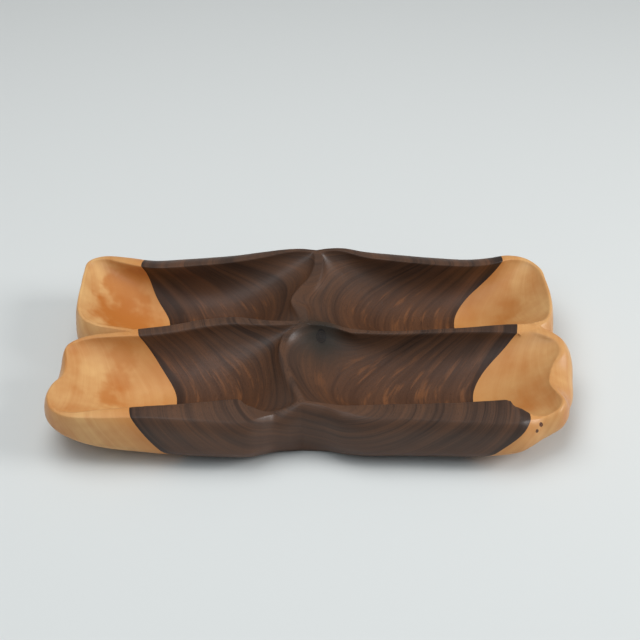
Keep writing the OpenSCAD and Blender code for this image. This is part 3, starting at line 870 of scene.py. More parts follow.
@dataclass
class SawnForm:
    """The carved form as triangles, each owned by a body of wood, and the faces between bodies."""

    points: np.ndarray
    normals: np.ndarray
    faces: np.ndarray
    owner: np.ndarray
    sawn: dict[Grown, list[np.ndarray]]

    @classmethod
    def of(cls, form: bpy.types.Object, body: Grown) -> "SawnForm":
        """Reads a form, all of it owned by one body.

        Args:
            form: The form, in triangles.
            body: Its first owner.

        Returns:
            The form, ready to saw.
        """
        mesh = form.data
        points = np.empty(len(mesh.vertices) * 3)
        normals = np.empty_like(points)
        mesh.vertices.foreach_get("co", points)
        mesh.vertices.foreach_get("normal", normals)
        mesh.calc_loop_triangles()
        faces = np.empty(len(mesh.loop_triangles) * 3, dtype=int)
        mesh.loop_triangles.foreach_get("vertices", faces)
        faces = faces.reshape(-1, 3)
        owner = np.full(len(faces), body, dtype=object)
        return cls(points.reshape(-1, 3) / MM, normals.reshape(-1, 3), faces, owner,
                   {one: [] for one in Grown})

    def cut(self, past: Rule, whole: Grown, part: Grown) -> list[np.ndarray]:
        """Cuts a part off one body, where a value falls below 0.

        Args:
            past: Rule that gives a value for each point.
            whole: Body that is cut.
            part: Body that owns what is cut off.

        Returns:
            The loops of the cut, as point numbers in the order of the part's border.
        """
        value = past(self.points)
        below = (value < 0.0)[self.faces]
        count = below.sum(axis=1)
        ours = self.owner == whole
        split = ours & (count > 0) & (count < 3)
        lone_below = count[split] == 1
        lone = np.where(lone_below, below[split].argmax(axis=1), (~below[split]).argmax(axis=1))
        turned = (lone[:, None] + np.arange(3)) % 3
        a, b, c = np.take_along_axis(self.faces[split], turned, axis=1).T
        pairs = np.sort(np.vstack([np.column_stack([a, b]), np.column_stack([a, c])]), axis=1)
        edges, which = np.unique(pairs, axis=0, return_inverse=True)
        which = which.ravel() + len(self.points)
        p, q = which[:len(a)], which[len(a):]
        low, high = edges.T
        share = (value[low] / (value[low] - value[high]))[:, None]
        self.points, self.normals = (np.vstack([one, one[low] * (1 - share) + one[high] * share])
                                     for one in (self.points, self.normals))
        owner = self.owner.copy()
        owner[ours & (count == 3)] = part
        lone_owner = np.where(lone_below, part, whole)
        rest_owner = np.where(lone_below, whole, part)
        self.faces = np.vstack([self.faces[~split], np.column_stack([a, p, q]),
                                np.column_stack([p, b, c]), np.column_stack([p, c, q])])
        self.owner = np.concatenate([owner[~split], lone_owner, rest_owner, rest_owner])
        return self.chained(np.where(lone_below, p, q), np.where(lone_below, q, p))

    @staticmethod
    def chained(starts: np.ndarray, ends: np.ndarray) -> list[np.ndarray]:
        """Joins directed edges to closed loops.

        Args:
            starts: Point number at which each edge starts.
            ends: Point number at which each edge ends.

        Returns:
            The loops, each as point numbers in order.
        """
        after = dict(zip(starts.tolist(), ends.tolist()))
        loops = []
        while after:
            here, loop = next(iter(after)), []
            while here in after:
                loop.append(here)
                here = after.pop(here)
            loops.append(np.array(loop))
        return loops

    def close(self, faces: np.ndarray, whole: Grown, part: Grown) -> None:
        """Gives the sawn faces between two bodies to both, facing out of each."""
        self.sawn[part].append(faces)
        self.sawn[whole].append(faces[:, ::-1])

    def fill(self, loop: np.ndarray, whole: Grown, part: Grown) -> None:
        """Closes a cut across the plank with one sawn face.

        Args:
            loop: Border of the part.
            whole: The body that was cut.
            part: The body that was cut off.
        """
        flat = self.points[loop][:, 1:]
        corners = np.array(tessellate_polygon([[Vector((y, z, 0.0)) for y, z in flat]]))
        first, second, third = (flat[corners[:, i]] for i in range(3))
        one, two = second - first, third - first
        area = (one[:, 0] * two[:, 1] - one[:, 1] * two[:, 0]).sum()
        after = np.roll(flat, -1, axis=0)
        around = (flat[:, 0] * after[:, 1] - flat[:, 1] * after[:, 0]).sum()
        self.close(loop[corners[:, ::-1] if area * around > 0 else corners], whole, part)

    def bridge(self, loops: list[np.ndarray], axis: tuple[np.ndarray, np.ndarray], whole: Grown,
               part: Grown) -> None:
        """Closes a round hole that goes through, between its two loops.

        Args:
            loops: Borders of the part at the near and the far end of the hole.
            axis: A point of the hole's middle line, and the way from the far to the near end.
            whole: The body with the hole.
            part: The body in the hole.
        """
        start, way = axis
        side = np.cross(way, [0.0, 1.0, 0.0])
        up = np.cross(way, side)
        rings = []
        for loop in sorted(loops, key=lambda one: -((self.points[one] - start) @ way).mean()):
            gap = self.points[loop] - start
            turn = np.arctan2(gap @ up, gap @ side)
            order = np.argsort(turn)
            rings.append((loop[order], turn[order]))
        (near, near_turn), (far, far_turn) = rings
        faces, i, j = [], 0, 0
        while i < len(near) or j < len(far):
            next_near = near_turn[i + 1] if i + 1 < len(near) else near_turn[0] + 2 * math.pi
            next_far = far_turn[j + 1] if j + 1 < len(far) else far_turn[0] + 2 * math.pi
            a, b = near[i % len(near)], far[j % len(far)]
            if j >= len(far) or (i < len(near) and next_near <= next_far):
                faces.append((a, b, near[(i + 1) % len(near)]))
                i += 1
            else:
                faces.append((a, b, far[(j + 1) % len(far)]))
                j += 1
        self.close(np.array(faces), whole, part)

    def plug(self, loop: np.ndarray, start: np.ndarray, way: np.ndarray, whole: Grown,
             part: Grown) -> None:
        """Closes a round blind hole below its loop.

        Args:
            loop: Border of the part, on the outer skin.
            start: Middle of the hole's blind end.
            way: The way out of the hole.
            whole: The body with the hole.
            part: The body in the hole.
        """
        run = (self.points[loop] - start) @ way
        deep = self.points[loop] - run[:, None] * way
        first = len(self.points)
        self.points = np.vstack([self.points, deep, start])
        self.normals = np.vstack([self.normals, np.tile(way, (len(deep) + 1, 1))])
        below = np.arange(first, first + len(deep))
        middle = np.full(len(deep), first + len(deep))
        after, below_after = np.roll(loop, -1), np.roll(below, -1)
        self.close(np.vstack([np.column_stack([loop, below, after]),
                              np.column_stack([after, below, below_after]),
                              np.column_stack([middle, below_after, below])]), whole, part)

    def piece(self, body: Grown, wood: bpy.types.Material) -> bpy.types.Object:
        """Makes one body of wood, smooth outside and flat where it was sawn.

        Args:
            body: The body of wood.
            wood: Its material.

        Returns:
            The piece.
        """
        outer = self.faces[self.owner == body]
        sawn = np.vstack(self.sawn[body])
        used, corners = np.unique(np.vstack([outer, sawn]), return_inverse=True)
        corners = corners.reshape(-1, 3)
        piece = mesh_object(body.value + "_wood", self.points[used], corners.tolist())
        one, two, three = (self.points[sawn[:, i]] for i in range(3))
        flat = np.cross(two - one, three - one)
        flat /= np.maximum(lengths(flat), TINY)
        smooth = self.normals[outer.ravel()] / lengths(self.normals[outer.ravel()])
        piece.data.polygons.foreach_set("use_smooth", np.ones(len(corners), dtype=bool))
        piece.data.normals_split_custom_set(np.vstack([smooth, np.repeat(flat, 3, axis=0)]).tolist())
        piece.data.materials.append(wood)
        return piece


@dataclass(frozen=True)
class Wire:
    """An output of a node, on which the usual sums add Math nodes. A last node has none."""

    graph: "Graph"
    socket: bpy.types.NodeSocket | None

    def __add__(self, other: "Term") -> "Wire":
        """Sum."""
        return self.graph.math("ADD", self, other)

    def __sub__(self, other: "Term") -> "Wire":
        """Difference."""
        return self.graph.math("SUBTRACT", self, other)

    def __rsub__(self, other: float) -> "Wire":
        """Difference from a number."""
        return self.graph.math("SUBTRACT", other, self)

    def __mul__(self, other: "Term") -> "Wire":
        """Product."""
        return self.graph.math("MULTIPLY", self, other)

    def __truediv__(self, other: "Term") -> "Wire":
        """Quotient."""
        return self.graph.math("DIVIDE", self, other)

    def __pow__(self, other: "Term") -> "Wire":
        """Power."""
        return self.graph.math("POWER", self, other)

    __radd__ = __add__
    __rmul__ = __mul__

    def step(self, low: float, high: float) -> "Wire":
        """A smooth step of this value, from 0 at low to 1 at high."""
        return self.graph.node("ShaderNodeMapRange", {"interpolation_type": "SMOOTHSTEP"},
                               {"Value": self, "From Min": low, "From Max": high})

    def part(self, axis: str) -> "Wire":
        """One part of a vector, X, Y or Z."""
        return self.graph.node("ShaderNodeSeparateXYZ", {}, {"Vector": self}, axis)


Term = Wire | float


@dataclass(frozen=True)
class Graph:
    """A node tree being built. One method makes any node."""

    tree: bpy.types.NodeTree

    def node(self, kind: str, settings: dict[str, object] | None = None,
             values: dict[str, object] | None = None, out: str = "") -> Wire:
        """Adds a node, sets its settings, and then the values or links of its sockets.

        Args:
            kind: Type of the node.
            settings: Properties by name, or the stops of a ramp.
            values: Values or wires by a socket's identifier or name.
            out: Name of the output wanted, or the first that is in use.

        Returns:
            The output, or an empty wire where the node has no outputs.
        """
        node = self.tree.nodes.new(kind)
        for name, value in (settings or {}).items():
            if name == "stops":
                self.set_stops(node.color_ramp, value)
            else:
                setattr(node, name, value)
        for name, value in (values or {}).items():
            socket = self.found(node.inputs, name)
            if isinstance(value, Wire):
                self.tree.links.new(value.socket, socket)
            else:
                socket.default_value = value
        if out:
            return Wire(self, self.found(node.outputs, out))
        return Wire(self, next((s for s in node.outputs if s.enabled), None))

    @staticmethod
    def found(sockets: bpy.types.bpy_prop_collection, name: str) -> bpy.types.NodeSocket:
        """The socket with an identifier, or else the one in use with that name."""
        exact = [s for s in sockets if s.identifier == name]
        return (exact or [s for s in sockets if s.enabled and s.name == name])[0]

    @staticmethod
    def set_stops(ramp: bpy.types.ColorRamp, stops: list[tuple[float, Colour]]) -> None:
        """Gives a ramp its stops.

        Args:
            ramp: The ramp, with no more stops than are wanted.
            stops: Place and colour of each.
        """
        while len(ramp.elements) < len(stops):
            ramp.elements.new(1.0)
        for element, (place, colour) in zip(ramp.elements, stops):
            element.position = place
            element.color = (*colour, 1.0)

    def math(self, operation: str, first: Term, second: Term = 0.0) -> Wire:
        """Adds a Math node on one value or two."""
        return self.node("ShaderNodeMath", {"operation": operation},
                         {"Value": first, "Value_001": second})

    def vector(self, x: Term, y: Term, z: Term) -> Wire:
        """Joins three values to a vector."""
        return self.node("ShaderNodeCombineXYZ", {}, {"X": x, "Y": y, "Z": z})

    def length(self, x: Term, y: Term) -> Wire:
        """Length of two values as the sides of a right angle."""
        return self.node("ShaderNodeVectorMath", {"operation": "LENGTH"},
                         {"Vector": self.vector(x, y, 0.0)}, "Value")

    def noise(self, spot: Wire, detail: float = 2.0, rough: float = 0.5) -> Wire:
        """Noise of unit size at a place, about 0.5 on the whole."""
        return self.node("ShaderNodeTexNoise", {},
                         {"Vector": spot, "Scale": 1.0, "Detail": detail, "Roughness": rough})

    def laid(self, share: Term, under: Wire, over: Colour) -> Wire:
        """Lays a share of one colour over another."""
        return self.node("ShaderNodeMix", {"data_type": "RGBA"},
                         {"Factor_Float": share, "A_Color": under, "B_Color": (*over, 1.0)})

    def over(self, spot: Wire, size: float) -> Wire:
        """A place divided by a size."""
        return self.node("ShaderNodeVectorMath", {"operation": "SCALE"},
                         {"Vector": spot, "Scale": 1.0 / size})

    def ramp(self, tone: Wire, tones: tuple[float, ...], colours: tuple[Colour, ...]) -> Wire:
        """Turns a tone into a colour by a ramp with a colour at each of some tones."""
        return self.node("ShaderNodeValToRGB", {"stops": list(zip(tones, colours))}, {"Fac": tone})


@dataclass(frozen=True)
class CarvingMarks:
    """The small waves that gouge and sander leave in the wood.

    They are the gouge's broad waves and the sander's fine ones, and they end at the flat foot,
    below the height at which they have their full depth.
    """

    depth: float = 0.5
    length: float = 24.0
    fine_depth: float = 0.10
    fine_length: float = 7.0
    seed: float = 4.0
    flat_height: float = 3.0

    def tree(self) -> bpy.types.NodeTree:
        """The node tree that lowers the surface by noise, clear of the flat foot.

        Returns:
            A tree with an input for each size.
        """
        tree = bpy.data.node_groups.new("carving_marks", "GeometryNodeTree")
        face = tree.interface
        face.new_socket("Geometry", in_out="INPUT", socket_type="NodeSocketGeometry")
        for name in ("Depth", "Length", "Fine depth", "Fine length", "Seed", "Flat height"):
            face.new_socket(name, in_out="INPUT", socket_type="NodeSocketFloat")
        face.new_socket("Wood", in_out="INPUT", socket_type="NodeSocketMaterial")
        face.new_socket("Geometry", in_out="OUTPUT", socket_type="NodeSocketGeometry")
        graph = Graph(tree)
        given = graph.node("NodeGroupInput").socket.node
        inputs = {s.name: Wire(graph, s) for s in given.outputs}
        spot = graph.node("GeometryNodeInputPosition")
        broad = self.waves(graph, spot, inputs["Length"], inputs["Seed"]) * inputs["Depth"]
        fine = self.waves(graph, spot, inputs["Fine length"], inputs["Seed"]) * inputs["Fine depth"]
        height = spot.part("Z") / inputs["Flat height"]
        clear = graph.node("ShaderNodeClamp", {}, {"Value": height})
        cut = (broad + fine) * clear * -1.0
        move = graph.node("ShaderNodeVectorMath", {"operation": "SCALE"},
                          {"Vector": graph.node("GeometryNodeInputNormal"), "Scale": cut})
        moved = graph.node("GeometryNodeSetPosition", {},
                           {"Geometry": inputs["Geometry"], "Offset": move})
        whole = graph.node("GeometryNodeRealizeInstances", {}, {"Geometry": moved})
        wood = graph.node("GeometryNodeSetMaterial", {},
                          {"Geometry": whole, "Material": inputs["Wood"]})
        graph.node("NodeGroupOutput", {}, {"Geometry": wood})
        return tree

    @staticmethod
    def waves(graph: Graph, spot: Wire, length: Wire, seed: Wire) -> Wire:
        """Waves of a given length, 0 to 1, as noise with a fixed seed."""
        scaled = graph.node("ShaderNodeVectorMath", {"operation": "DIVIDE"},
                            {"Vector": spot, "Vector_001": graph.vector(length, length, length)})
        return graph.node("ShaderNodeTexNoise", {"noise_dimensions": "4D"},
                          {"Vector": scaled, "W": seed, "Scale": 1.0, "Detail": 1.0})

    def cut(self, shape: bpy.types.Object, wood: bpy.types.Material) -> None:
        """Cuts the marks into a form.

        Args:
            shape: The smooth form, which is changed.
            wood: Material that the form gets.
        """
        modifier = shape.modifiers.new("carving_marks", "NODES")
        tree = self.tree()
        modifier.node_group = tree
        sizes = {"Depth": self.depth * MM, "Length": self.length * MM,
                 "Fine depth": self.fine_depth * MM, "Fine length": self.fine_length * MM,
                 "Seed": self.seed, "Flat height": self.flat_height * MM, "Wood": wood}
        for socket in tree.interface.items_tree:
            if socket.in_out == "INPUT" and socket.name in sizes:
                modifier[socket.identifier] = sizes[socket.name]
        baked(shape)
        bpy.data.node_groups.remove(tree)


@dataclass(frozen=True)
class Oil:
    """The satin of an oiled surface: its roughness, and how unevenly it lies, in patches.

    The shine is the strength of its reflections, and the relief is how far the grain stands up.
    """

    roughness: float = 0.40
    uneven: float = 0.12
    shine: float = 0.44
    patch: float = 22.0
    patch_detail: float = 3.0
    grain_relief: float = 0.035

    def dress(self, graph: Graph, colour: Wire, spot: Wire, relief: Wire) -> None:
        """Finishes a material with an oiled surface.

        Args:
            graph: The material's tree.
            colour: Colour of the wood.
            spot: Place in the log, in millimetres.
            relief: Height of the grain, 0 to 1.
        """
        patches = graph.noise(graph.over(spot, self.patch), self.patch_detail)
        rough = patches * self.uneven + (self.roughness - self.uneven / 2)
        bump = graph.node("ShaderNodeBump", {}, {"Strength": 1.0, "Distance": self.grain_relief * MM,
                                                 "Height": relief})
        shader = graph.node("ShaderNodeBsdfPrincipled", {},
                            {"Base Color": colour, "Roughness": rough, "Normal": bump,
                             "Specular IOR Level": self.shine})
        graph.node("ShaderNodeOutputMaterial", {}, {"Surface": shader})


@dataclass(frozen=True)
class Streak:
    """One kind of streak: its width across the rings and its run along the grain.

    The share is how much it counts in the colour, and the detail is its number of finer octaves.
    """

    width: float
    run: float
    share: float
    detail: float = 2.0


@dataclass(frozen=True)
class Pores:
    """Open pores, short dashes along the grain: their width, their run and how dark they are."""

    width: float
    run: float
    share: float
    detail: float = 1.0


@dataclass(frozen=True)
class Timber:
    """What heartwood and sapwood share: the log they grew in and how its grain is drawn."""

    log: TreeTrunk = TreeTrunk()
    oil: Oil = Oil()
    # Waves of the growth rings for each millimetre across the log and along it.
    wave_across: float = 0.016
    wave_along: float = 0.006
    # How fast a streak changes across the bowl, as a share of its change along the grain, the
    # roughness of its noise, and the noise between which a pore opens.
    streak_bend: float = 1.4
    streak_rough: float = 0.55
    pore_edge: Span = (0.60, 0.72)

    def start(self, name: str) -> tuple[bpy.types.Material, Graph, Wire]:
        """A new material and the place in the log.

        Args:
            name: Name of the material.

        Returns:
            The material, its tree, and the place in millimetres from the middle of the log,
            with Y along the log.
        """
        material = bpy.data.materials.new(name)
        material.use_nodes = True
        material.node_tree.nodes.clear()
        graph = Graph(material.node_tree)
        turn = math.radians(self.log.grain_turn)
        spot = graph.node(
            "ShaderNodeMapping", {"vector_type": "TEXTURE"},
            {"Vector": graph.node("ShaderNodeTexCoord", {}, {}, "Object"),
             "Location": (self.log.pith_x * MM, 0.0, self.log.pith_z * MM),
             "Rotation": (0.0, 0.0, turn), "Scale": (MM, MM, MM)})
        return material, graph, spot

    def ring(self, graph: Graph, spot: Wire, warp: float) -> Wire:
        """Distance from the middle of the log, with the waves of real growth rings.

        Args:
            graph: The material's tree.
            spot: Place in the log.
            warp: How far the rings wander.

        Returns:
            The distance in millimetres.
        """
        x, y, z = (spot.part(axis) for axis in "XYZ")
        place = graph.vector(x * self.wave_across, y * self.wave_along, z * self.wave_across)
        return graph.length(x, z) + (graph.noise(place) - 0.5) * warp

    def streaks(self, graph: Graph, spot: Wire, ring: Wire, kind: Streak) -> Wire:
        """Noise that changes from ring to ring and runs along the grain.

        Args:
            graph: The material's tree.
            spot: Place in the log.
            ring: Distance from the middle of the log.
            kind: The kind of streak.

        Returns:
            The noise, about 0.5 on the whole.
        """
        along = spot.part("Y") * (1.0 / kind.run)
        round_it = spot.part("X") * (self.streak_bend / kind.run)
        place = graph.vector(ring * (1.0 / kind.width), along, round_it)
        return graph.noise(place, kind.detail, self.streak_rough)

    def pores(self, graph: Graph, spot: Wire, kind: Pores) -> Wire:
        """The open pores of the wood.

        Args:
            graph: The material's tree.
            spot: Place in the log.
            kind: The kind of pores.

        Returns:
            A mask, 1 in a pore and 0 between.
        """
        place = graph.vector(spot.part("X") * (1.0 / kind.width), spot.part("Y") * (1.0 / kind.run),
                             spot.part("Z") * (1.0 / kind.width))
        return graph.noise(place, kind.detail).step(*self.pore_edge)


@dataclass(frozen=True)
class Heartwood(Timber):
    """Dark brown wood with red and black streaks, which bend round the branch knot.

    Heights are taken from the middle of the log, so they are below 0 in the bowl.
    """

    black: Colour = (0.018, 0.010, 0.007)
    brown: Colour = (0.059, 0.030, 0.018)
    warm: Colour = (0.098, 0.045, 0.023)
    red: Colour = (0.145, 0.057, 0.025)
    # Tones at which those four colours lie, and what is added to the tone of the streaks.
    tones: tuple[float, ...] = (0.34, 0.47, 0.58, 0.72)
    tone_lift: float = 0.02
    broad: Streak = Streak(9.0, 260.0, 0.46)
    bands: Streak = Streak(2.6, 170.0, 0.30, 3.0)
    hair: Streak = Streak(0.55, 45.0, 0.20)
    hair_relief: float = 0.6
    pore: Pores = Pores(0.42, 6.0, 0.45)
    ring_warp: float = 6.0
    # Painted light: redder brown where the hollows' floors show no sheen, its share, and the heights
    # between which it ends.
    painted_sheenless_brown: Colour = (0.092, 0.034, 0.013)
    painted_sheenless_share: float = 0.45
    painted_sheenless_heights: Span = (-126.0, -108.0)
    # Black lines, the noise between which they begin, and how much stronger they are on the rims.
    lines: Streak = Streak(2.2, 210.0, 0.25)
    line_edge: Span = (0.62, 0.68)
    rim_more: float = 0.35
    rim_heights: Span = (-108.0, -98.0)
    # Orange strokes low in the hollows, the noise between which they begin, how far their rings
    # are shifted from the lines, and the half widths of the bowl between which they end.
    orange: Colour = (0.300, 0.110, 0.034)
    strokes: Streak = Streak(2.4, 30.0, 0.36)
    stroke_edge: Span = (0.52, 0.74)
    stroke_shift: float = 40.0
    stroke_ends: Span = (70.0, 84.0)
    # Grey wood round the branch knot, its share and reach, and how far the rings bend there.
    knot_grey: Colour = (0.016, 0.015, 0.011)
    knot_share: float = 0.9
    knot_reach: float = 19.0
    knot_swirl: float = 6.0
    # Width of the dark last ring, and its share.
    edge_dark: float = 2.2
    edge_share: float = 0.55

    def material(self) -> bpy.types.Material:
        """Builds the heartwood material.

        Returns:
            The material.
        """
        material, graph, spot = self.start("heartwood")
        near_knot = self.near_knot(graph, spot)
        ring = self.ring(graph, spot, self.ring_warp) + near_knot * self.knot_swirl
        hair = self.streaks(graph, spot, ring, self.hair)
        colour = self.ground(graph, spot, ring, hair)
        colour = self.drawn(graph, spot, ring, colour)
        colour = graph.laid(near_knot * self.knot_share, colour, self.knot_grey)
        edge = graph.length(spot.part("X"), spot.part("Z"))
        edge = edge.step(self.log.ring_radius - self.edge_dark, self.log.ring_radius)
        colour = graph.laid(edge * self.edge_share, colour, self.black)
        pores = self.pores(graph, spot, self.pore)
        colour = graph.laid(pores * self.pore.share, colour, self.black)
        self.oil.dress(graph, colour, spot, hair * self.hair_relief - pores)
        return material

    def near_knot(self, graph: Graph, spot: Wire) -> Wire:
        """How near a place is to the branch knot.

        Args:
            graph: The material's tree.
            spot: Place in the log.

        Returns:
            1 at the knot, falling to 0 round it.
        """
        knot_x = self.log.branch_spot[0] - self.log.pith_x
        gap = graph.length(spot.part("X") - knot_x, spot.part("Y") - self.log.branch_spot[1])
        return graph.math("EXPONENT", (gap / self.knot_reach) ** 2.0 * -1.0)

    def ground(self, graph: Graph, spot: Wire, ring: Wire, hair: Wire) -> Wire:
        """The colour of the broad bands and the fine hair of the grain.

        Args:
            graph: The material's tree.
            spot: Place in the log.
            ring: Distance from the middle of the log.
            hair: The finest streaks.

        Returns:
            The colour.
        """
        broad = self.streaks(graph, spot, ring, self.broad) * self.broad.share
        bands = self.streaks(graph, spot, ring, self.bands) * self.bands.share
        tone = broad + bands + hair * self.hair.share + self.tone_lift
        return graph.ramp(tone, self.tones, (self.black, self.brown, self.warm, self.red))

    def drawn(self, graph: Graph, spot: Wire, ring: Wire, colour: Wire) -> Wire:
        """A redder brown painted low in the hollows for floors without sheen, black lines and orange
        strokes, over a colour.

        Args:
            graph: The material's tree.
            spot: Place in the log.
            ring: Distance from the middle of the log.
            colour: Colour of the wood below them.

        Returns:
            The colour with all three.
        """
        # Painted light: the hollows' floors are drawn redder brown, standing in for their lack of
        # sheen.
        low = 1.0 - spot.part("Z").step(*self.painted_sheenless_heights)
        colour = graph.laid(low * self.painted_sheenless_share, colour, self.painted_sheenless_brown)
        high = spot.part("Z").step(*self.rim_heights)
        lines = self.streaks(graph, spot, ring, self.lines).step(*self.line_edge)
        colour = graph.laid(lines * (high * self.rim_more + self.lines.share), colour, self.black)
        strokes = self.streaks(graph, spot, ring + self.stroke_shift, self.strokes)
        across = graph.math("ABSOLUTE", spot.part("Y"))
        inside = low * (1.0 - across.step(*self.stroke_ends))
        strokes = strokes.step(*self.stroke_edge) * inside * self.strokes.share
        return graph.laid(strokes, colour, self.orange)


@dataclass(frozen=True)
class Mottle:
    """One deeper patch in the sapwood: its place, its radius and how deep its colour is."""

    spot: tuple[float, float, float]
    radius: float
    depth: float


@dataclass(frozen=True)
class Sapwood(Timber):
    """Pale orange-tan wood with soft deeper patches."""

    pale: Colour = (0.66, 0.385, 0.155)
    tan: Colour = (0.57, 0.290, 0.105)
    deep: Colour = (0.45, 0.150, 0.028)
    # Tones at which those three colours lie, and what is added to the tone of clouds and streaks.
    tones: tuple[float, ...] = (0.34, 0.50, 0.74)
    tone_lift: float = -0.06
    cloud: float = 34.0
    cloud_share: float = 0.75
    cloud_detail: float = 3.0
    grain: Streak = Streak(4.0, 150.0, 0.3, 3.0)
    fibre: Streak = Streak(0.6, 40.0, 0.08)
    relief: float = 0.5
    pore: Pores = Pores(0.35, 4.0, 0.12)
    ring_warp: float = 10.0
    # Orange wood beside the last dark ring, how far it reaches out, and its share.
    edge_orange: Colour = (0.52, 0.200, 0.045)
    edge_reach: float = 34.0
    edge_share: float = 0.6
    # Size and depth of the waves of a patch's edge, and the radii between which a patch ends.
    patch_wave: float = 12.0
    patch_wavy: float = 1.6
    patch_edge: Span = (0.5, 1.25)
    mottles: tuple[Mottle, ...] = (
        Mottle((-158.0, -52.0, 14.0), 15.0, 0.75),
        Mottle((-150.0, -30.0, 20.0), 11.0, 0.6),
        Mottle((-147.0, -14.0, 32.0), 13.0, 0.6),
        Mottle((-156.0, 44.0, 14.0), 30.0, 1.0),
        Mottle((-157.0, 74.0, 28.0), 22.0, 0.8),
        Mottle((174.0, -48.0, 26.0), 14.0, 0.35),
        Mottle((163.0, 52.0, 22.0), 15.0, 0.4),
    )

    def material(self) -> bpy.types.Material:
        """Builds the sapwood material.

        Returns:
            The material.
        """
        material, graph, spot = self.start("sapwood")
        ring = self.ring(graph, spot, self.ring_warp)
        clouds = graph.noise(graph.over(spot, self.cloud), self.cloud_detail, self.streak_rough)
        grain = self.streaks(graph, spot, ring, self.grain)
        fibre = self.streaks(graph, spot, ring, self.fibre)
        tone = clouds * self.cloud_share + grain * self.grain.share + fibre * self.fibre.share
        colour = graph.ramp(tone + self.tone_lift, self.tones, (self.pale, self.tan, self.deep))
        raw = graph.node("ShaderNodeTexCoord", {}, {}, "Object")
        wavy = graph.noise(graph.over(spot, self.patch_wave)) - 0.5
        for mottle in self.mottles:
            colour = graph.laid(self.patch(graph, raw, wavy, mottle), colour, self.deep)
        near = self.log.ring_radius - graph.length(spot.part("X"), spot.part("Z"))
        near = near.step(-self.edge_reach, 0.0)
        colour = graph.laid(near * self.edge_share, colour, self.edge_orange)
        pores = self.pores(graph, spot, self.pore)
        colour = graph.laid(pores * self.pore.share, colour, self.deep)
        self.oil.dress(graph, colour, spot, (fibre - pores) * self.relief)
        return material

    def patch(self, graph: Graph, raw: Wire, wavy: Wire, mottle: Mottle) -> Wire:
        """The share of the deeper colour in one patch, with a wavy edge.

        Args:
            graph: The material's tree.
            raw: Place in the bowl, in metres.
            wavy: Waves of the patch's edge, about 0.
            mottle: The patch.

        Returns:
            The share, 0 outside the patch.
        """
        centre = tuple(place * MM for place in mottle.spot)
        gap = graph.node("ShaderNodeVectorMath", {"operation": "DISTANCE"},
                         {"Vector": raw, "Vector_001": centre}, "Value")
        far = gap * (1.0 / (mottle.radius * MM)) + wavy * self.patch_wavy
        return (1.0 - far.step(*self.patch_edge)) * mottle.depth


@dataclass(frozen=True)
class Knot(Timber):
    """Dark wood of a knot, ringed round its own middle."""

    name: str = "branch_knot"
    middle: tuple[float, float] = (0.0, 0.0)
    dark: Colour = (0.006, 0.004, 0.003)
    light: Colour = (0.026, 0.017, 0.012)
    # Tones at which those two colours lie, and the share of the rings in the tone.
    tones: tuple[float, ...] = (0.3, 0.9)
    ring_share: float = 0.6
    # Width of a ring, and the size and depth of its waves.
    ring_width: float = 1.1
    wave_size: float = 3.0
    wave_depth: float = 1.5

    def material(self) -> bpy.types.Material:
        """Builds the knot's material.

        Returns:
            The material.
        """
        material, graph, spot = self.start(self.name)
        gap = graph.length(spot.part("X") - self.middle[0], spot.part("Y") - self.middle[1])
        wavy = graph.noise(graph.over(spot, self.wave_size))
        turn = (gap + wavy * self.wave_depth) * (2.0 * math.pi / self.ring_width)
        rings = graph.math("SINE", turn) * 0.5 + 0.5
        tone = rings * self.ring_share + wavy * (1.0 - self.ring_share)
        colour = graph.ramp(tone, self.tones, (self.dark, self.light))
        self.oil.dress(graph, colour, spot, tone)
        return material


@dataclass(frozen=True)
class PinKnot(Knot):
    """Redder, lighter wood of the two pin knots."""

    name: str = "pin_knots"
    dark: Colour = (0.030, 0.012, 0.006)
    light: Colour = (0.20, 0.07, 0.025)


@dataclass
class Bowl:
    """The whole bowl: carves its form, saws it apart and dresses each body of wood."""

    low: Vector
    high: Vector
    log: TreeTrunk = TreeTrunk()
    marks: CarvingMarks = CarvingMarks()

    def woods(self) -> dict[Grown, bpy.types.Material]:
        """Builds the materials.

        Returns:
            The material of each body of wood.
        """
        heart = Heartwood(self.log).material()
        sap = Sapwood(self.log).material()
        knot_x, knot_y = self.log.branch_spot[0] - self.log.pith_x, self.log.branch_spot[1]
        branch = Knot(self.log, middle=(knot_x, knot_y)).material()
        pins = PinKnot(self.log).material()
        return {Grown.HEART: heart, Grown.LEFT_END: sap, Grown.RIGHT_END: sap, Grown.BRANCH: branch,
                Grown.PINS: pins}

    def build(self) -> dict[Grown, bpy.types.Object]:
        """Makes every piece.

        Returns:
            The pieces by the body of wood that they are.
        """
        size = (self.high - self.low) / MM
        form = BowlForm(size.x, size.y, size.z).make("form")
        woods = self.woods()
        self.marks.cut(form, woods[Grown.HEART])
        saw = SawnForm.of(form, Grown.HEART)
        bpy.data.objects.remove(form)
        self.saw_apart(saw)
        return {body: saw.piece(body, wood) for body, wood in woods.items()}

    def saw_apart(self, saw: SawnForm) -> None:
        """Saws off the two ends and takes out the knots.

        Args:
            saw: The carved form, all of it heartwood as yet.
        """
        for side, end in ((-1.0, Grown.LEFT_END), (1.0, Grown.RIGHT_END)):
            for loop in saw.cut(partial(self.log.past_ring, side), Grown.HEART, end):
                saw.fill(loop, Grown.HEART, end)
        start, way = self.log.branch_axis
        loops = saw.cut(self.log.past_branch, Grown.HEART, Grown.BRANCH)
        saw.bridge(loops, (start, -way), Grown.HEART, Grown.BRANCH)
        for which, spot in enumerate(self.log.pin_spots):
            way = self.log.pin_way(which)
            end = np.array(spot) - way * self.log.pin_depth
            for loop in saw.cut(partial(self.log.past_pin, which), Grown.RIGHT_END, Grown.PINS):
                saw.plug(loop, end, way, Grown.RIGHT_END, Grown.PINS)


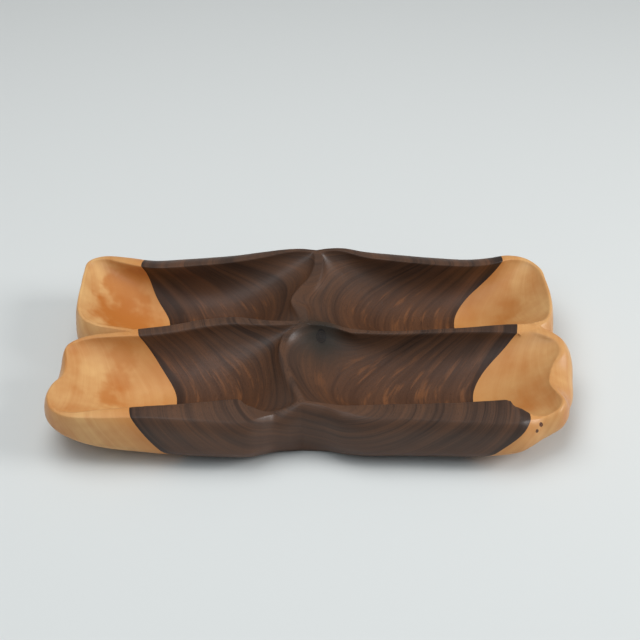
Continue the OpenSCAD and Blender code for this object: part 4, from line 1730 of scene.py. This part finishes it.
@dataclass(frozen=True)
class Lamp:
    """A round soft lamp aimed at the bowl: its place and size in millimetres, power in watts.

    The colour is that of its light, and a lamp without glints doesn't show in reflections.
    """

    name: str
    place: tuple[float, float, float]
    size: float
    power: float
    colour: Colour = (1.0, 1.0, 1.0)
    glints: bool = True

    def hang(self) -> None:
        """Makes the lamp and turns it towards the bowl."""
        light = bpy.data.lights.new(self.name, "AREA")
        light.shape = "DISK"
        light.size = self.size * MM
        light.energy = self.power
        light.color = self.colour
        lamp = bpy.data.objects.new(self.name, light)
        place = Vector(self.place) * MM
        turn = (-place).to_track_quat("-Z", "Y").to_matrix().to_4x4()
        lamp.matrix_world = Matrix.Translation(place) @ turn
        lamp.visible_glossy = self.glints
        bpy.context.scene.collection.objects.link(lamp)


@dataclass(frozen=True)
class Studio:
    """Pale floor, soft light and the photograph's camera, in millimetres and degrees."""

    camera_place: tuple[float, float, float] = (4.66, -806.9, 685.3)
    camera_tilt: float = 52.0
    focal_length: float = 74.53
    sensor: float = 36.0
    sight: float = 100000.0
    floor_half: float = 6000.0
    floor_colour: Colour = (0.645, 0.665, 0.66)
    sky_colour: Colour = (0.97, 0.99, 1.0)
    sky_strength: float = 0.26
    lamps: tuple[Lamp, ...] = (
        Lamp("overhead", (-300.0, 120.0, 1400.0), 1300.0, 12.2, glints=False),
        Lamp("front", (-500.0, -800.0, 1250.0), 900.0, 4.0, colour=(0.84, 0.94, 1.0)),
        Lamp("window", (1500.0, -200.0, 900.0), 900.0, 18.0),
    )

    def place_camera(self) -> None:
        """Makes the camera and gives it to the scene."""
        lens = bpy.data.cameras.new("camera")
        lens.lens = self.focal_length
        lens.sensor_width = self.sensor
        lens.clip_end = self.sight * MM
        camera = bpy.data.objects.new("camera", lens)
        camera.location = Vector(self.camera_place) * MM
        camera.rotation_euler = (math.radians(self.camera_tilt), 0.0, 0.0)
        bpy.context.scene.collection.objects.link(camera)
        bpy.context.scene.camera = camera

    def lay_floor(self) -> None:
        """Makes the floor that the bowl stands on."""
        half = self.floor_half
        corners = np.array([[-half, -half, 0], [half, -half, 0], [half, half, 0], [-half, half, 0]])
        floor = mesh_object("floor", corners, [(0, 1, 2, 3)])
        material = bpy.data.materials.new("floor")
        material.use_nodes = True
        material.node_tree.nodes.clear()
        graph = Graph(material.node_tree)
        paint = graph.node("ShaderNodeBsdfDiffuse", {}, {"Color": (*self.floor_colour, 1.0)})
        graph.node("ShaderNodeOutputMaterial", {}, {"Surface": paint})
        floor.data.materials.append(material)

    def light(self) -> None:
        """Lights the bowl with a soft sky and wide lamps."""
        world = bpy.data.worlds.new("sky")
        world.use_nodes = True
        background = world.node_tree.nodes["Background"]
        background.inputs["Color"].default_value = (*self.sky_colour, 1.0)
        background.inputs["Strength"].default_value = self.sky_strength
        bpy.context.scene.world = world
        for lamp in self.lamps:
            lamp.hang()


def main() -> None:
    """Builds the scene and reports each piece."""
    logging.basicConfig(level=logging.INFO, format="%(name)s: %(message)s")
    studio = Studio()
    studio.place_camera()
    bpy.context.scene.view_settings.view_transform = "Standard"
    for body, piece in Bowl(*CAD_BOX).build().items():
        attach(piece, "root")
        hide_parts(body.value)
        LOG.info("%s: %d faces", piece.name, len(piece.data.polygons))
    studio.lay_floor()
    studio.light()


if __name__ == "__main__":
    main()
